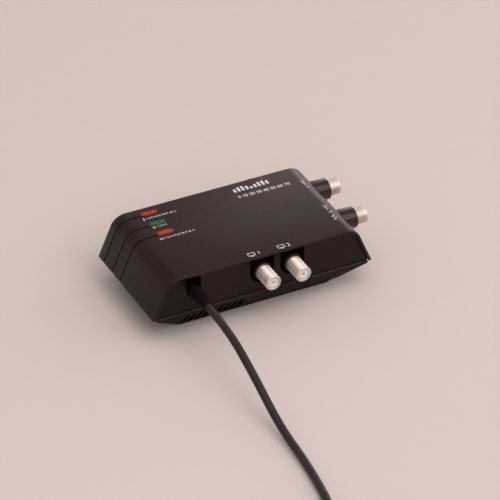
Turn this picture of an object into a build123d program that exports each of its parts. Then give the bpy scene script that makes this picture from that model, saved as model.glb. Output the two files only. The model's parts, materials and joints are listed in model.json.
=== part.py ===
from build123d import *
import math
import os

# A two-way television aerial amplifier: a moulded housing with an arched cover, four coaxial
# sockets, three indicator windows and a captive mains cord.
# Millimetres. +X runs to the aerial sockets, -Y to the outlet sockets and the cord, +Z up.
# The origin is the middle of the base's underside.

# Housing
LENGTH = 138.0            # cover, tip to tip
DEPTH = 73.0              # cover, front edge to back edge
BASE_HEIGHT = 15.9        # underside to the cover's tips
COVER_RISE = 24.4         # the cover's tips to its top face
END_RUN = 10.4            # how far each end leans in over the rise
CORNER_RADIUS = 10.0      # outside rounding between top and ends
COVER_WALL = 1.9
BASE_WALL = 2.0
BASE_FLOOR = 2.0
BASE_END_INSET = 22.0     # flat underside, in from the cover's tips
BASE_FRONT_INSET = 11.9   # flat underside, in from the cover's front and back edges
RIM_HEIGHT = 1.0          # upright rim at the top of the base
RIM_LEDGE = 2.0           # thickness of the ledge that the end panels stand on
RIM_END_STEP = 2.25       # rim, in from the cover's tips
RIM_FRONT_STEP = 0.1      # rim, in from the cover's front and back edges
PANEL_INSET = 1.5         # front panel, back from the cover's edge
REAR_INSET = 0.6          # rear panel, in from the cover's back edge
PANEL_WALL = 2.0
FIT = 0.15                # clearance of parts that drop into place

# Coaxial sockets, 3/8 inch thread
BARREL_RADIUS = 4.7625
SHANK_RADIUS = 4.5
BORE_RADIUS = 3.4
INSULATOR_RECESS = 0.35
PIN_HOLE_RADIUS = 0.6
CONTACT_RADIUS = 1.1
TIP_CHAMFER = 0.4
AXIS_RISE = 13.35         # socket axes above the cover's tips
BODY_WIDTH = 12.0
BODY_LENGTH = 11.0
BODY_TOP = 6.35           # socket body above its axis
OUTLET_X = (-0.5, 18.5)
OUTLET_REACH = 12.7       # bare barrel in front of the cover's edge
OUTLET_COLLAR_RADIUS = 5.5
POCKET_RADIUS = 7.5
POCKET_DEPTH = 12.0
POCKET_WALL = 1.4
POCKET_BACK = 1.2
INLET_FROM_BACK = 14.1    # back aerial socket, in from the cover's back edge
INLET_FROM_FRONT = 26.1
INLET_COLLAR_REACH = 1.7  # collar past the cover's tip
INLET_REACH = 7.1         # bare barrel past the collar
INLET_COLLAR_LENGTH = 13.4
INLET_COLLAR_RADIUS = 6.25
COLLAR_DRAFT = 2.5        # degrees

# Indicator windows
LENS_FROM_END = 29.3      # window middles, in from the cover's left tip
LENS_FROM_BACK = (6.3, 17.5, 27.75)
LENS_LENGTH = 11.1
LENS_WIDTH = 4.8
LENS_PROUD = 0.3
LENS_FLANGE = 0.8
LENS_FLANGE_DEPTH = 1.2
STEM_RADIUS = 2.0
GROOVE_WIDTH = 0.9
GROOVE_DEPTH = 0.45
GROOVE_OFFSET = 1.0       # groove, forward of its window's middle
LED_RADIUS = 1.5
LED_HEIGHT = 5.3
LED_FLANGE = 0.35
LED_GAP = 0.3

# Air slots in the front slope
SLOT_COUNT = 9
SLOT_FIRST_X = -46.3
SLOT_PITCH = 4.26
SLOT_WIDTH = 2.75
SLOT_TOP = 12.9

# Board and fasteners
BOARD_WALL = 1.6
BOARD_BELOW_AXIS = 7.65   # socket axes above the board's top
BOARD_LEFT = 23.5         # board's left edge, in from the cover's tip
BOARD_RIGHT = 12.0
BOARD_FRONT = 16.0        # board's front edge, back from the cover's
BOARD_BACK = 4.0
BOARD_NOTCH_X = -5.0      # the board leaves the corner of the transformer free
BOARD_NOTCH_Y = 5.0
BOARD_STRIP = 10.0        # board beside the transformer, in from its left edge
BOARD_STRIP_LENGTH = 5.5  # that strip, forward of the notch
SCREW_RADIUS = 1.5
COVER_SCREW_END = 19.0    # cover screws, in from the tips
COVER_SCREW_SIDE = 15.5   # left pair, in from the front and back edges
COVER_SCREW_FRONT = 12.5  # right front one, in from the front edge
BOSS_RADIUS = 3.2
COLUMN_RADIUS = 4.9
COLUMN_TOP = 17.5
WELL_RADIUS = 3.3
WELL_TOP = 6.5
HEAD_RADIUS = 2.8
HEAD_HEIGHT = 2.2
SCREW_GRIP = 10.0         # screw inside the cover's boss
BOARD_SCREW_SIDE = 7.4    # board screws, in from the back edge
BOARD_SCREW_FRONT = 20.5  # board screws, back from the front edge
BOARD_SCREW_X = (35.0, 40.0, 9.0)
BOARD_SCREW_STEP = 8.5    # left back one, right of the capacitors
STANDOFF_RADIUS = 2.4
BOARD_SCREW_RADIUS = 1.2
BOARD_HEAD_RADIUS = 2.1
BOARD_HEAD_HEIGHT = 1.5
BOARD_SCREW_LENGTH = 8.0

# Screening box over the amplifier stage
SHIELD_X = (8.0, 40.0)
SHIELD_FRONT = 27.5       # frame, back from the cover's front edge
SHIELD_BACK = 12.5
SHIELD_HEIGHT = 12.0
SHIELD_WALL = 0.5
LID_WALL = 0.5
LID_LIP = 2.0
CHIP_MARGIN = 6.0         # chips and cores, in from the frame's front and back
CHIP_HALF = (2.5, 2.0)
CHIP_HEIGHT = 1.6
CHIP_X = 8.5              # from the frame's middle wall, as are the others
FILTER_COIL_RADIUS = 2.2
FILTER_COIL_BORE = 1.4
FILTER_COIL_LENGTH = 3.2
FILTER_COIL_X = 11.7
FILTER_COIL_PITCH = 5.6
SPLITTER_CORE = (6.0, 7.0, 4.0)
SPLITTER_CORE_X = -9.0
SPLITTER_HOLE_RADIUS = 0.9
SPLITTER_HOLE_STEP = 1.7
CHIP_CAPACITOR = (2.0, 1.2, 0.9)
CHIP_CAPACITOR_X = (-3.5, 3.0)
CHIP_CAPACITOR_PITCH = 3.5

# Mains transformer, laminations of the usual 6 to 5 outline
CORE_MODULE = 5.3
CORE_STACK = 14.0
CORE_X = -24.0
CORE_Y = -9.0
BOBBIN_WALL = 0.8
WINDING_GAP = 0.6
STRAP_WALL = 1.0
STRAP_WIDTH = 10.0
STRAP_FOOT = 4.2
STRAP_HEAD_HEIGHT = 1.5

# Supply parts on the board
FUSE_X = 1.2
FUSE_FROM_FRONT = 34.5    # fuse's middle, back from the cover's front edge
FUSE_RADIUS = 2.6
FUSE_LENGTH = 16.0
FUSE_RAISE = 4.2
CAP_STEP = 10.2           # capacitors, right of the windows
CAP_FROM_BACK = 11.1
CAP_PITCH = 10.4
CAP_RADIUS = 5.0
CAP_HEIGHT = 12.5
CAP_ROUNDING = 0.6
DIODE_COUNT = 4
DIODE_STEP = 9.0          # first diode, right of the capacitors
DIODE_PITCH = 3.5
DIODE_FROM_NOTCH = 6.5
DIODE_RADIUS = 1.3
DIODE_LENGTH = 5.2
REGULATOR_X = -9.0
REGULATOR_FROM_NOTCH = 14.0
REGULATOR_WIDTH = 10.0
REGULATOR_DEPTH = 4.4
REGULATOR_BODY = 9.0      # height of its body
REGULATOR_HEIGHT = 15.0   # to the top of its tab
REGULATOR_TAB = 1.3
REGULATOR_HOLE = 1.8
SINK_WIDTH = 18.0
SINK_DEPTH = 8.0
SINK_WALL = 1.4
ARRESTER_RADIUS = 2.7
ARRESTER_LENGTH = 6.0

# Mains cord
CORD_RADIUS = 2.3
CORD_X = -43.3
CORD_POCKET_RADIUS = 4.4
CORD_POCKET_DEPTH = 9.2
RELIEF_REACH = 17.0       # strain relief in front of the cover's edge
RELIEF_RIBS = 6
RELIEF_RIB_DEPTH = 0.7
RELIEF_ROOT_RADIUS = 3.9
RELIEF_TIP_RADIUS = 3.05
RELIEF_FLANGE_RADIUS = 5.0
RELIEF_FLANGE_DEPTH = 2.0
INNER_CORD_END = 22.5     # sheath inside, back from the cover's edge
LEAD_RADIUS = 0.9
LEAD_SPACING = 2.1
WIRE_COUNT = 4
WIRE_RADIUS = 0.5
WIRE_STEP = 0.6           # transformer's first wire, right of its middle
WIRE_PITCH = 2.4
WIRE_LANDING = 1.5        # where the wires meet the board, back from the notch
WIRE_RISE = 1.9
COIL_CENTRE = (-88.6, -250.0)
COIL_RADIUS = 36.3        # outermost turn, at the middle of the cord
COIL_PITCH = 5.1          # cord to cord, beside and above
COIL_HALF_TURNS = 8       # in the lower layer
TIE_WALL = 0.8
TIE_WIDTH = 6.0
TIE_GAP = 0.2
PLUG_LENGTH = 32.0
PLUG_WIDTH = 27.0
PLUG_HEIGHT = 19.0
PLUG_ROUNDING = 5.0
PLUG_BOOT = 15.0
PLUG_BOOT_RADIUS = 5.5
PLUG_STEP = 3.8           # plug, aside from the coil's last run
BLADE = (17.0, 6.3, 1.6)
BLADE_OFFSET = 6.85
BLADE_TILT = 30.0

# Places that follow from the sizes above
RIGHT = LENGTH / 2
BACK = DEPTH / 2
FRONT = -BACK
LEAN = END_RUN / COVER_RISE
LENS_X = LENS_FROM_END - RIGHT
LENS_Y = tuple(BACK - step for step in LENS_FROM_BACK)
INLET_Y = (BACK - INLET_FROM_BACK, FRONT + INLET_FROM_FRONT)
COVER_TOP = BASE_HEIGHT + COVER_RISE
CEILING = COVER_TOP - COVER_WALL
AXIS_Z = BASE_HEIGHT + AXIS_RISE
BOARD_TOP = AXIS_Z - BOARD_BELOW_AXIS
BOARD_UNDER = BOARD_TOP - BOARD_WALL
PANEL_FRONT = FRONT + PANEL_INSET
POCKET_FLOOR = FRONT + POCKET_DEPTH
OUTLET_BODY = POCKET_FLOOR + POCKET_BACK
CORD_POCKET_FLOOR = FRONT + CORD_POCKET_DEPTH
INLET_COLLAR_END = RIGHT + INLET_COLLAR_REACH
INLET_BODY = INLET_COLLAR_END - INLET_COLLAR_LENGTH
COVER_SCREW_X = RIGHT - COVER_SCREW_END
COVER_SCREWS = (
    (-COVER_SCREW_X, FRONT + COVER_SCREW_SIDE),
    (-COVER_SCREW_X, BACK - COVER_SCREW_SIDE),
    (COVER_SCREW_X, FRONT + COVER_SCREW_FRONT),
    (COVER_SCREW_X, sum(INLET_Y) / 2),
)
CAP_X = LENS_X + CAP_STEP
BOARD_SCREWS = (
    (CAP_X + BOARD_SCREW_STEP, BACK - BOARD_SCREW_SIDE),
    (BOARD_SCREW_X[0], BACK - BOARD_SCREW_SIDE),
    (BOARD_SCREW_X[1], FRONT + BOARD_SCREW_FRONT),
    (BOARD_SCREW_X[2], FRONT + BOARD_SCREW_FRONT),
)
SHIELD = (*SHIELD_X, FRONT + SHIELD_FRONT, BACK - SHIELD_BACK)
FUSE_Y = FRONT + FUSE_FROM_FRONT
DIODE_Y = BOARD_NOTCH_Y + DIODE_FROM_NOTCH
REGULATOR_Y = BOARD_NOTCH_Y + REGULATOR_FROM_NOTCH
ARRESTER_X = (SHIELD_X[1] + LID_WALL + INLET_BODY - BODY_LENGTH) / 2
COIL_LOW = CORD_RADIUS + TIE_WALL + TIE_GAP
COIL_HIGH = COIL_LOW + COIL_PITCH
RELIEF_END = FRONT - RELIEF_REACH

# The free cord's route from the strain relief to its coil, chosen by hand
CORD_ROUTE = (
    (CORD_X, RELIEF_END, AXIS_Z),
    (CORD_X, -79.0, AXIS_Z),
    (-43.0, -109.0, 18.5),
    (-42.6, -139.0, 4.4),
    (-43.4, -170.0, 2.4),
    (-47.0, -198.0, 2.4),
    (COIL_CENTRE[0] + COIL_RADIUS, -222.0, COIL_LOW),
    (COIL_CENTRE[0] + COIL_RADIUS, COIL_CENTRE[1] + 2 * CORD_RADIUS, COIL_LOW),
)

pieces = {}


def block(x0, x1, y0, y1, z0, z1):
    """A box between two corners."""
    middle = Pos((x0 + x1) / 2, (y0 + y1) / 2, (z0 + z1) / 2)
    return middle * Box(x1 - x0, y1 - y0, z1 - z0)


def rod(radius, start, axis, length):
    """A cylinder from start along axis."""
    return extrude(Plane(origin=start, z_dir=axis) * Circle(radius), length)


def ring(outer, inner, start, axis, length):
    """A straight tube from start along axis."""
    return rod(outer, start, axis, length) - rod(inner, start, axis, length)


def slab(face, y0, y1):
    """A flat (x, z) outline carried from y0 to y1."""
    return Plane.XZ * (Pos(0, 0, -y1) * extrude(face, y1 - y0))


def group(solids):
    """Separate solids kept in one node."""
    return Compound([solid for part in solids for solid in part.solids()])


def unit(vector):
    """The vector at length one."""
    return Vector(*vector).normalized()


def cover_profile(inset):
    """The cover's cross-section in (x, z), stepped in by inset."""
    top = COVER_TOP - inset
    foot = RIGHT - inset * math.hypot(1, LEAN)
    head = foot - LEAN * (top - BASE_HEIGHT)
    outline = Polyline((-foot, BASE_HEIGHT), (-head, top), (head, top), (foot, BASE_HEIGHT), close=True)
    face = make_face(outline)
    return fillet(face.vertices().sort_by(Axis.Y)[-2:], CORNER_RADIUS - inset)


def arch_opening(x, radius):
    """A U-shaped pocket outline in (x, z): round below the axis, upright sides above it."""
    round_end = Pos(x, AXIS_Z) * Circle(radius)
    upper = Pos(x, (AXIS_Z + COVER_TOP) / 2) * Rectangle(2 * radius, COVER_TOP - AXIS_Z)
    return round_end + upper


def top_cover():
    """The arched cover with its window slots, grooves, socket holes and screw bosses."""
    cover = slab(cover_profile(0), FRONT, BACK)
    cover -= slab(cover_profile(COVER_WALL), FRONT - 1, BACK + 1)
    for x, y in COVER_SCREWS:
        boss = rod(BOSS_RADIUS, (x, y, COLUMN_TOP), (0, 0, 1), CEILING + COVER_WALL / 2 - COLUMN_TOP)
        cover += boss - rod(SCREW_RADIUS, (x, y, COLUMN_TOP), (0, 0, 1), SCREW_GRIP + 1)
    skin = slab(cover_profile(0), FRONT, BACK) - slab(cover_profile(GROOVE_DEPTH), FRONT - 1, BACK + 1)
    for y in LENS_Y:
        slot = SlotOverall(LENS_LENGTH + 2 * FIT, LENS_WIDTH + 2 * FIT)
        cover -= extrude(Pos(LENS_X, y, CEILING - 1) * slot, COVER_WALL + 2)
        middle = y - GROOVE_OFFSET
        groove = block(
            -RIGHT - 1, LENS_X - LENS_LENGTH / 2 + 1,
            middle - GROOVE_WIDTH / 2, middle + GROOVE_WIDTH / 2,
            BASE_HEIGHT - 1, COVER_TOP + 1,
        )
        cover -= skin & groove
    for y in INLET_Y:
        hole = inlet_collar_radius(INLET_BODY) + FIT
        cover -= rod(hole, (INLET_BODY, y, AXIS_Z), (1, 0, 0), INLET_COLLAR_LENGTH)
    return cover


def inlet_collar_radius(x):
    """The drafted collar's outside radius at x."""
    return INLET_COLLAR_RADIUS + (INLET_COLLAR_END - x) * math.tan(math.radians(COLLAR_DRAFT))


def base_half(z):
    """Half length and half depth of the base's outside at height z."""
    share = min(z / (BASE_HEIGHT - RIM_HEIGHT), 1)
    low_x = RIGHT - BASE_END_INSET
    low_y = BACK - BASE_FRONT_INSET
    high_x = RIGHT - RIM_END_STEP
    high_y = BACK - RIM_FRONT_STEP
    return low_x + (high_x - low_x) * share, low_y + (high_y - low_y) * share


def base_section(z, step_x, step_y):
    """The base's rectangle at height z, stepped in by two wall widths."""
    half_x, half_y = base_half(z)
    return Pos(0, 0, z) * Rectangle(2 * (half_x - step_x), 2 * (half_y - step_y))


def base_outside():
    """The base as a full block: a widening foot under an upright rim."""
    shoulder = BASE_HEIGHT - RIM_HEIGHT
    half_x, half_y = base_half(shoulder)
    foot = loft([base_section(0, 0, 0), base_section(shoulder, 0, 0)], ruled=True)
    return foot + block(-half_x, half_x, -half_y, half_y, shoulder, BASE_HEIGHT)


def base_tray():
    """The base with its air slots, screw columns and board standoffs."""
    shoulder = BASE_HEIGHT - RIM_HEIGHT
    low_x, low_y = base_half(0)
    high_x, high_y = base_half(shoulder)
    wall_x = BASE_WALL * math.hypot(1, (high_x - low_x) / shoulder)
    wall_y = BASE_WALL * math.hypot(1, (high_y - low_y) / shoulder)
    ledge = BASE_HEIGHT - RIM_LEDGE
    outside = base_outside()
    hollow = loft([base_section(BASE_FLOOR, wall_x, wall_y), base_section(ledge, wall_x, wall_y)], ruled=True)
    mouth_x = base_half(ledge)[0] - wall_x
    mouth_y = -PANEL_FRONT - PANEL_WALL - 1
    mouth = block(-mouth_x, mouth_x, -mouth_y, mouth_y, ledge, BASE_HEIGHT + 1)
    tray = outside - hollow - mouth
    for index in range(SLOT_COUNT):
        x = SLOT_FIRST_X + index * SLOT_PITCH
        slot_back = -(base_half(BASE_FLOOR)[1] - wall_y)
        tray -= block(x - SLOT_WIDTH / 2, x + SLOT_WIDTH / 2, FRONT, slot_back, BASE_FLOOR, SLOT_TOP)
    room = outside + block(-mouth_x, mouth_x, -mouth_y, mouth_y, BASE_HEIGHT, COVER_TOP)
    for x, y in COVER_SCREWS:
        tray += rod(COLUMN_RADIUS, (x, y, 0), (0, 0, 1), COLUMN_TOP) & room
        tray -= rod(WELL_RADIUS, (x, y, -1), (0, 0, 1), WELL_TOP + 1)
        tray -= rod(SCREW_RADIUS + FIT, (x, y, 0), (0, 0, 1), COLUMN_TOP + 1)
    for x, y in BOARD_SCREWS:
        tray += rod(STANDOFF_RADIUS, (x, y, BASE_FLOOR / 2), (0, 0, 1), BOARD_UNDER - BASE_FLOOR / 2) & room
        depth = BOARD_SCREW_LENGTH - BOARD_WALL + 1
        tray -= rod(BOARD_SCREW_RADIUS, (x, y, BOARD_UNDER - depth), (0, 0, 1), depth)
    return tray


def front_panel():
    """The front panel with the pockets around the two outlets and the cord."""
    outline = cover_profile(COVER_WALL + FIT)
    panel = slab(outline, PANEL_FRONT, PANEL_FRONT + PANEL_WALL)
    wells = [(x, POCKET_RADIUS, POCKET_FLOOR, SHANK_RADIUS + FIT) for x in OUTLET_X]
    wells.append((CORD_X, CORD_POCKET_RADIUS, CORD_POCKET_FLOOR, RELIEF_TIP_RADIUS + FIT))
    for x, radius, floor, hole in wells:
        back = floor + POCKET_BACK
        well = slab(arch_opening(x, radius + POCKET_WALL), PANEL_FRONT + PANEL_WALL / 2, back)
        panel += well & slab(outline, FRONT, back)
    for x, radius, floor, hole in wells:
        panel -= slab(arch_opening(x, radius), FRONT, floor)
        panel -= rod(hole, (x, FRONT, AXIS_Z), (0, 1, 0), DEPTH / 2)
    return panel


def rear_panel():
    """The plain panel that closes the back."""
    outer = BACK - REAR_INSET
    return slab(cover_profile(COVER_WALL + FIT), outer - PANEL_WALL, outer)


def light_pipe(y):
    """One clear window: a pill through the cover, a flange under it and a stem to its LED."""
    seat = CEILING - LENS_FLANGE_DEPTH
    pill = extrude(Pos(LENS_X, y, seat) * SlotOverall(LENS_LENGTH, LENS_WIDTH), COVER_TOP + LENS_PROUD - seat)
    pill = fillet(pill.faces().sort_by(Axis.Z)[-1].edges(), LENS_PROUD)
    flange = SlotOverall(LENS_LENGTH + 2 * LENS_FLANGE, LENS_WIDTH + 2 * LENS_FLANGE)
    stem_foot = BOARD_TOP + LED_HEIGHT + LED_GAP
    stem = rod(STEM_RADIUS, (LENS_X, y, stem_foot), (0, 0, 1), seat - stem_foot)
    return pill + extrude(Pos(LENS_X, y, seat) * flange, LENS_FLANGE_DEPTH) + stem


def led(y):
    """A domed lamp on the board under one window."""
    shoulder = BOARD_TOP + LED_HEIGHT - LED_RADIUS
    body = rod(LED_RADIUS, (LENS_X, y, BOARD_TOP), (0, 0, 1), LED_HEIGHT - LED_RADIUS)
    body += Pos(LENS_X, y, shoulder) * Sphere(LED_RADIUS)
    return body + rod(LED_RADIUS + LED_FLANGE, (LENS_X, y, BOARD_TOP), (0, 0, 1), 1)


def main_board():
    """The circuit board, with its notch at the transformer and its screw holes."""
    left = -RIGHT + BOARD_LEFT
    right = RIGHT - BOARD_RIGHT
    front = FRONT + BOARD_FRONT
    back = BACK - BOARD_BACK
    board = block(left, right, front, back, BOARD_UNDER, BOARD_TOP)
    strip = BOARD_NOTCH_Y - BOARD_STRIP_LENGTH
    board -= block(left - 1, BOARD_NOTCH_X, front - 1, strip, BOARD_UNDER - 1, BOARD_TOP + 1)
    board -= block(left + BOARD_STRIP, BOARD_NOTCH_X, strip - 1, BOARD_NOTCH_Y, BOARD_UNDER - 1, BOARD_TOP + 1)
    for x, y in BOARD_SCREWS:
        board -= rod(BOARD_SCREW_RADIUS + FIT, (x, y, BOARD_UNDER - 1), (0, 0, 1), BOARD_WALL + 2)
    for x, y in COVER_SCREWS:
        board -= rod(BOSS_RADIUS + 2 * FIT, (x, y, BOARD_UNDER - 1), (0, 0, 1), BOARD_WALL + 2)
    return board


def socket_parts(place, shank, reach):
    """Body, insulator and contact of one socket, outward along the plane's normal."""
    tip = shank + reach
    body = block(-BODY_WIDTH / 2, BODY_WIDTH / 2, -BOARD_BELOW_AXIS, BODY_TOP, -BODY_LENGTH, 0)
    barrel = rod(BARREL_RADIUS, (0, 0, shank), (0, 0, 1), reach)
    barrel = chamfer(barrel.faces().sort_by(Axis.Z)[-1].edges(), TIP_CHAMFER)
    body += rod(SHANK_RADIUS, (0, 0, 0), (0, 0, 1), shank)
    body += barrel
    root = -BODY_LENGTH + 2
    body -= rod(BORE_RADIUS, (0, 0, root), (0, 0, 1), tip + BODY_LENGTH)
    face = tip - INSULATOR_RECESS
    insulator = rod(BORE_RADIUS, (0, 0, root), (0, 0, 1), face - root)
    contact_length = face - 3 - root
    contact = rod(CONTACT_RADIUS, (0, 0, root), (0, 0, 1), contact_length)
    insulator -= contact
    insulator -= rod(PIN_HOLE_RADIUS, (0, 0, root), (0, 0, 1), tip - root)
    contact -= rod(PIN_HOLE_RADIUS, (0, 0, root + 2), (0, 0, 1), contact_length)
    return [place * part for part in (body, insulator, contact)]


def outlet_place(x):
    """The plane of an outlet's body face, looking out to the front."""
    return Plane(origin=(x, OUTLET_BODY, AXIS_Z), x_dir=(1, 0, 0), z_dir=(0, -1, 0))


def inlet_place(y):
    """The plane of an aerial socket's body face, looking out to the right."""
    return Plane(origin=(INLET_BODY, y, AXIS_Z), x_dir=(0, 1, 0), z_dir=(1, 0, 0))


def inlet_collar(y):
    """The drafted collar around an aerial socket, through the leaning end of the cover."""
    root = inlet_collar_radius(INLET_BODY)
    upright = (Align.CENTER, Align.CENTER, Align.MIN)
    cone = inlet_place(y) * Cone(root, INLET_COLLAR_RADIUS, INLET_COLLAR_LENGTH, align=upright)
    return cone - rod(SHANK_RADIUS + FIT / 2, (INLET_BODY, y, AXIS_Z), (1, 0, 0), INLET_COLLAR_LENGTH)


def outlet_collar(x):
    """The black sleeve on an outlet inside its pocket."""
    return ring(OUTLET_COLLAR_RADIUS, SHANK_RADIUS + FIT / 2, (x, POCKET_FLOOR, AXIS_Z), (0, -1, 0), POCKET_DEPTH)


def sockets():
    """All four sockets with their collars, insulators and contacts."""
    for number, x in enumerate(OUTLET_X, 1):
        body, insulator, contact = socket_parts(outlet_place(x), POCKET_DEPTH + POCKET_BACK, OUTLET_REACH)
        pieces[f"outlet_{number}_socket"] = body
        pieces[f"outlet_{number}_insulator"] = insulator
        pieces[f"outlet_{number}_contact"] = contact
        pieces[f"outlet_{number}_collar"] = outlet_collar(x)
    for number, y in enumerate(INLET_Y, 1):
        body, insulator, contact = socket_parts(inlet_place(y), INLET_COLLAR_LENGTH, INLET_REACH)
        pieces[f"aerial_{number}_socket"] = body
        pieces[f"aerial_{number}_insulator"] = insulator
        pieces[f"aerial_{number}_contact"] = contact
        pieces[f"aerial_{number}_collar"] = inlet_collar(y)


def screening():
    """The tinned screening frame and its clip-on lid."""
    x0, x1, y0, y1 = SHIELD
    top = BOARD_TOP + SHIELD_HEIGHT
    wall = SHIELD_WALL
    frame = block(x0, x1, y0, y1, BOARD_TOP, top)
    frame -= block(x0 + wall, x1 - wall, y0 + wall, y1 - wall, BOARD_TOP - 1, top + 1)
    middle = (x0 + x1) / 2
    frame += block(middle - wall / 2, middle + wall / 2, y0 + wall / 2, y1 - wall / 2, BOARD_TOP, top)
    outer = LID_WALL
    lid = block(x0 - outer, x1 + outer, y0 - outer, y1 + outer, top - LID_LIP, top + LID_WALL)
    lid -= block(x0, x1, y0, y1, top - LID_LIP - 1, top)
    return frame, lid


def amplifier_parts():
    """Amplifier chips, filter coils, splitter cores and chip capacitors in the screening box."""
    x0, x1, y0, y1 = SHIELD
    middle = (x0 + x1) / 2
    ends = (y0 + CHIP_MARGIN, y1 - CHIP_MARGIN)
    half_x, half_y = CHIP_HALF
    chips = []
    for y in ends:
        x = middle + CHIP_X
        chips.append(block(x - half_x, x + half_x, y - half_y, y + half_y, BOARD_TOP, BOARD_TOP + CHIP_HEIGHT))
    coils = []
    for index in range(int((y1 - y0 - FILTER_COIL_RADIUS) / FILTER_COIL_PITCH)):
        start = (middle + FILTER_COIL_X, y0 + (index + 0.9) * FILTER_COIL_PITCH, BOARD_TOP + FILTER_COIL_RADIUS)
        coils.append(ring(FILTER_COIL_RADIUS, FILTER_COIL_BORE, start, (1, 0, 0), FILTER_COIL_LENGTH))
    cores = []
    length, depth, height = SPLITTER_CORE
    for y in ends:
        core = Pos(middle + SPLITTER_CORE_X, y, BOARD_TOP + height / 2) * Box(length, depth, height)
        for step in (-SPLITTER_HOLE_STEP, SPLITTER_HOLE_STEP):
            start = (middle + SPLITTER_CORE_X - length, y + step, BOARD_TOP + height / 2)
            core -= rod(SPLITTER_HOLE_RADIUS, start, (1, 0, 0), 2 * length)
        cores.append(core)
    capacitors = []
    length, depth, height = CHIP_CAPACITOR
    for index in range(int((y1 - y0 - CHIP_CAPACITOR_PITCH) / CHIP_CAPACITOR_PITCH)):
        y = y0 + (index + 1.15) * CHIP_CAPACITOR_PITCH
        for x in CHIP_CAPACITOR_X:
            capacitors.append(Pos(middle + x, y, BOARD_TOP + height / 2) * Box(length, depth, height))
    return group(chips), group(coils), group(cores), group(capacitors)


def transformer():
    """Laminated core, bobbin, two windings and the strap that holds them to the floor."""
    m = CORE_MODULE
    half_y = CORE_STACK / 2
    low = BASE_FLOOR
    high = low + 5 * m
    core = block(-3 * m, 3 * m, -half_y, half_y, low, high)
    for side in (-1, 1):
        inner, outer = sorted((side * m, side * 2 * m))
        core -= block(inner, outer, -half_y - 1, half_y + 1, low + m, high - m)
    reach = m - FIT
    gap = FIT
    z0 = low + m + gap
    z1 = high - m - gap
    wall = BOBBIN_WALL
    hole = block(-m - gap, m + gap, -half_y - gap, half_y + gap, z0 - 1, z1 + 1)
    tube = block(-m - gap - wall, m + gap + wall, -half_y - gap - wall, half_y + gap + wall, z0, z1)
    spool = block(-m - reach, m + reach, -half_y - reach, half_y + reach, z0, z1)
    middle = (z0 + z1) / 2
    rooms = []
    for a, b in ((z0 + wall, middle - wall / 2), (middle + wall / 2, z1 - wall)):
        rooms.append(block(-m - reach - 1, m + reach + 1, -half_y - reach - 1, half_y + reach + 1, a, b) - tube)
    bobbin = spool - hole - rooms[0] - rooms[1]
    full = spool - hole - tube
    slim = block(
        -m - reach + WINDING_GAP, m + reach - WINDING_GAP,
        -half_y - reach + WINDING_GAP, half_y + reach - WINDING_GAP, z0, z1,
    )
    windings = [slim & full & room for room in rooms]
    half = STRAP_WIDTH / 2
    side = 3 * m + STRAP_WALL
    strap = block(-side, side, -half, half, low, high + STRAP_WALL)
    strap -= block(-3 * m, 3 * m, -half - 1, half + 1, low - 1, high)
    for sign in (-1, 1):
        a, b = sorted((sign * 3 * m, sign * (side + STRAP_FOOT)))
        strap += block(a, b, -half, half, low, low + STRAP_WALL)
    screws = []
    for sign in (-1, 1):
        x = sign * (side + STRAP_FOOT / 2)
        strap -= rod(SCREW_RADIUS, (x, 0, low), (0, 0, 1), STRAP_WALL)
        screw = rod(SCREW_RADIUS, (x, 0, low), (0, 0, 1), STRAP_WALL)
        screws.append(screw + rod(BOARD_HEAD_RADIUS, (x, 0, low + STRAP_WALL), (0, 0, 1), STRAP_HEAD_HEIGHT))
    place = Pos(CORE_X, CORE_Y, 0)
    pieces["transformer_core"] = place * core
    pieces["transformer_bobbin"] = place * bobbin
    pieces["primary_winding"] = place * windings[0]
    pieces["secondary_winding"] = place * windings[1]
    pieces["transformer_strap"] = place * strap
    pieces["strap_screws"] = group([place * screw for screw in screws])


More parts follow.
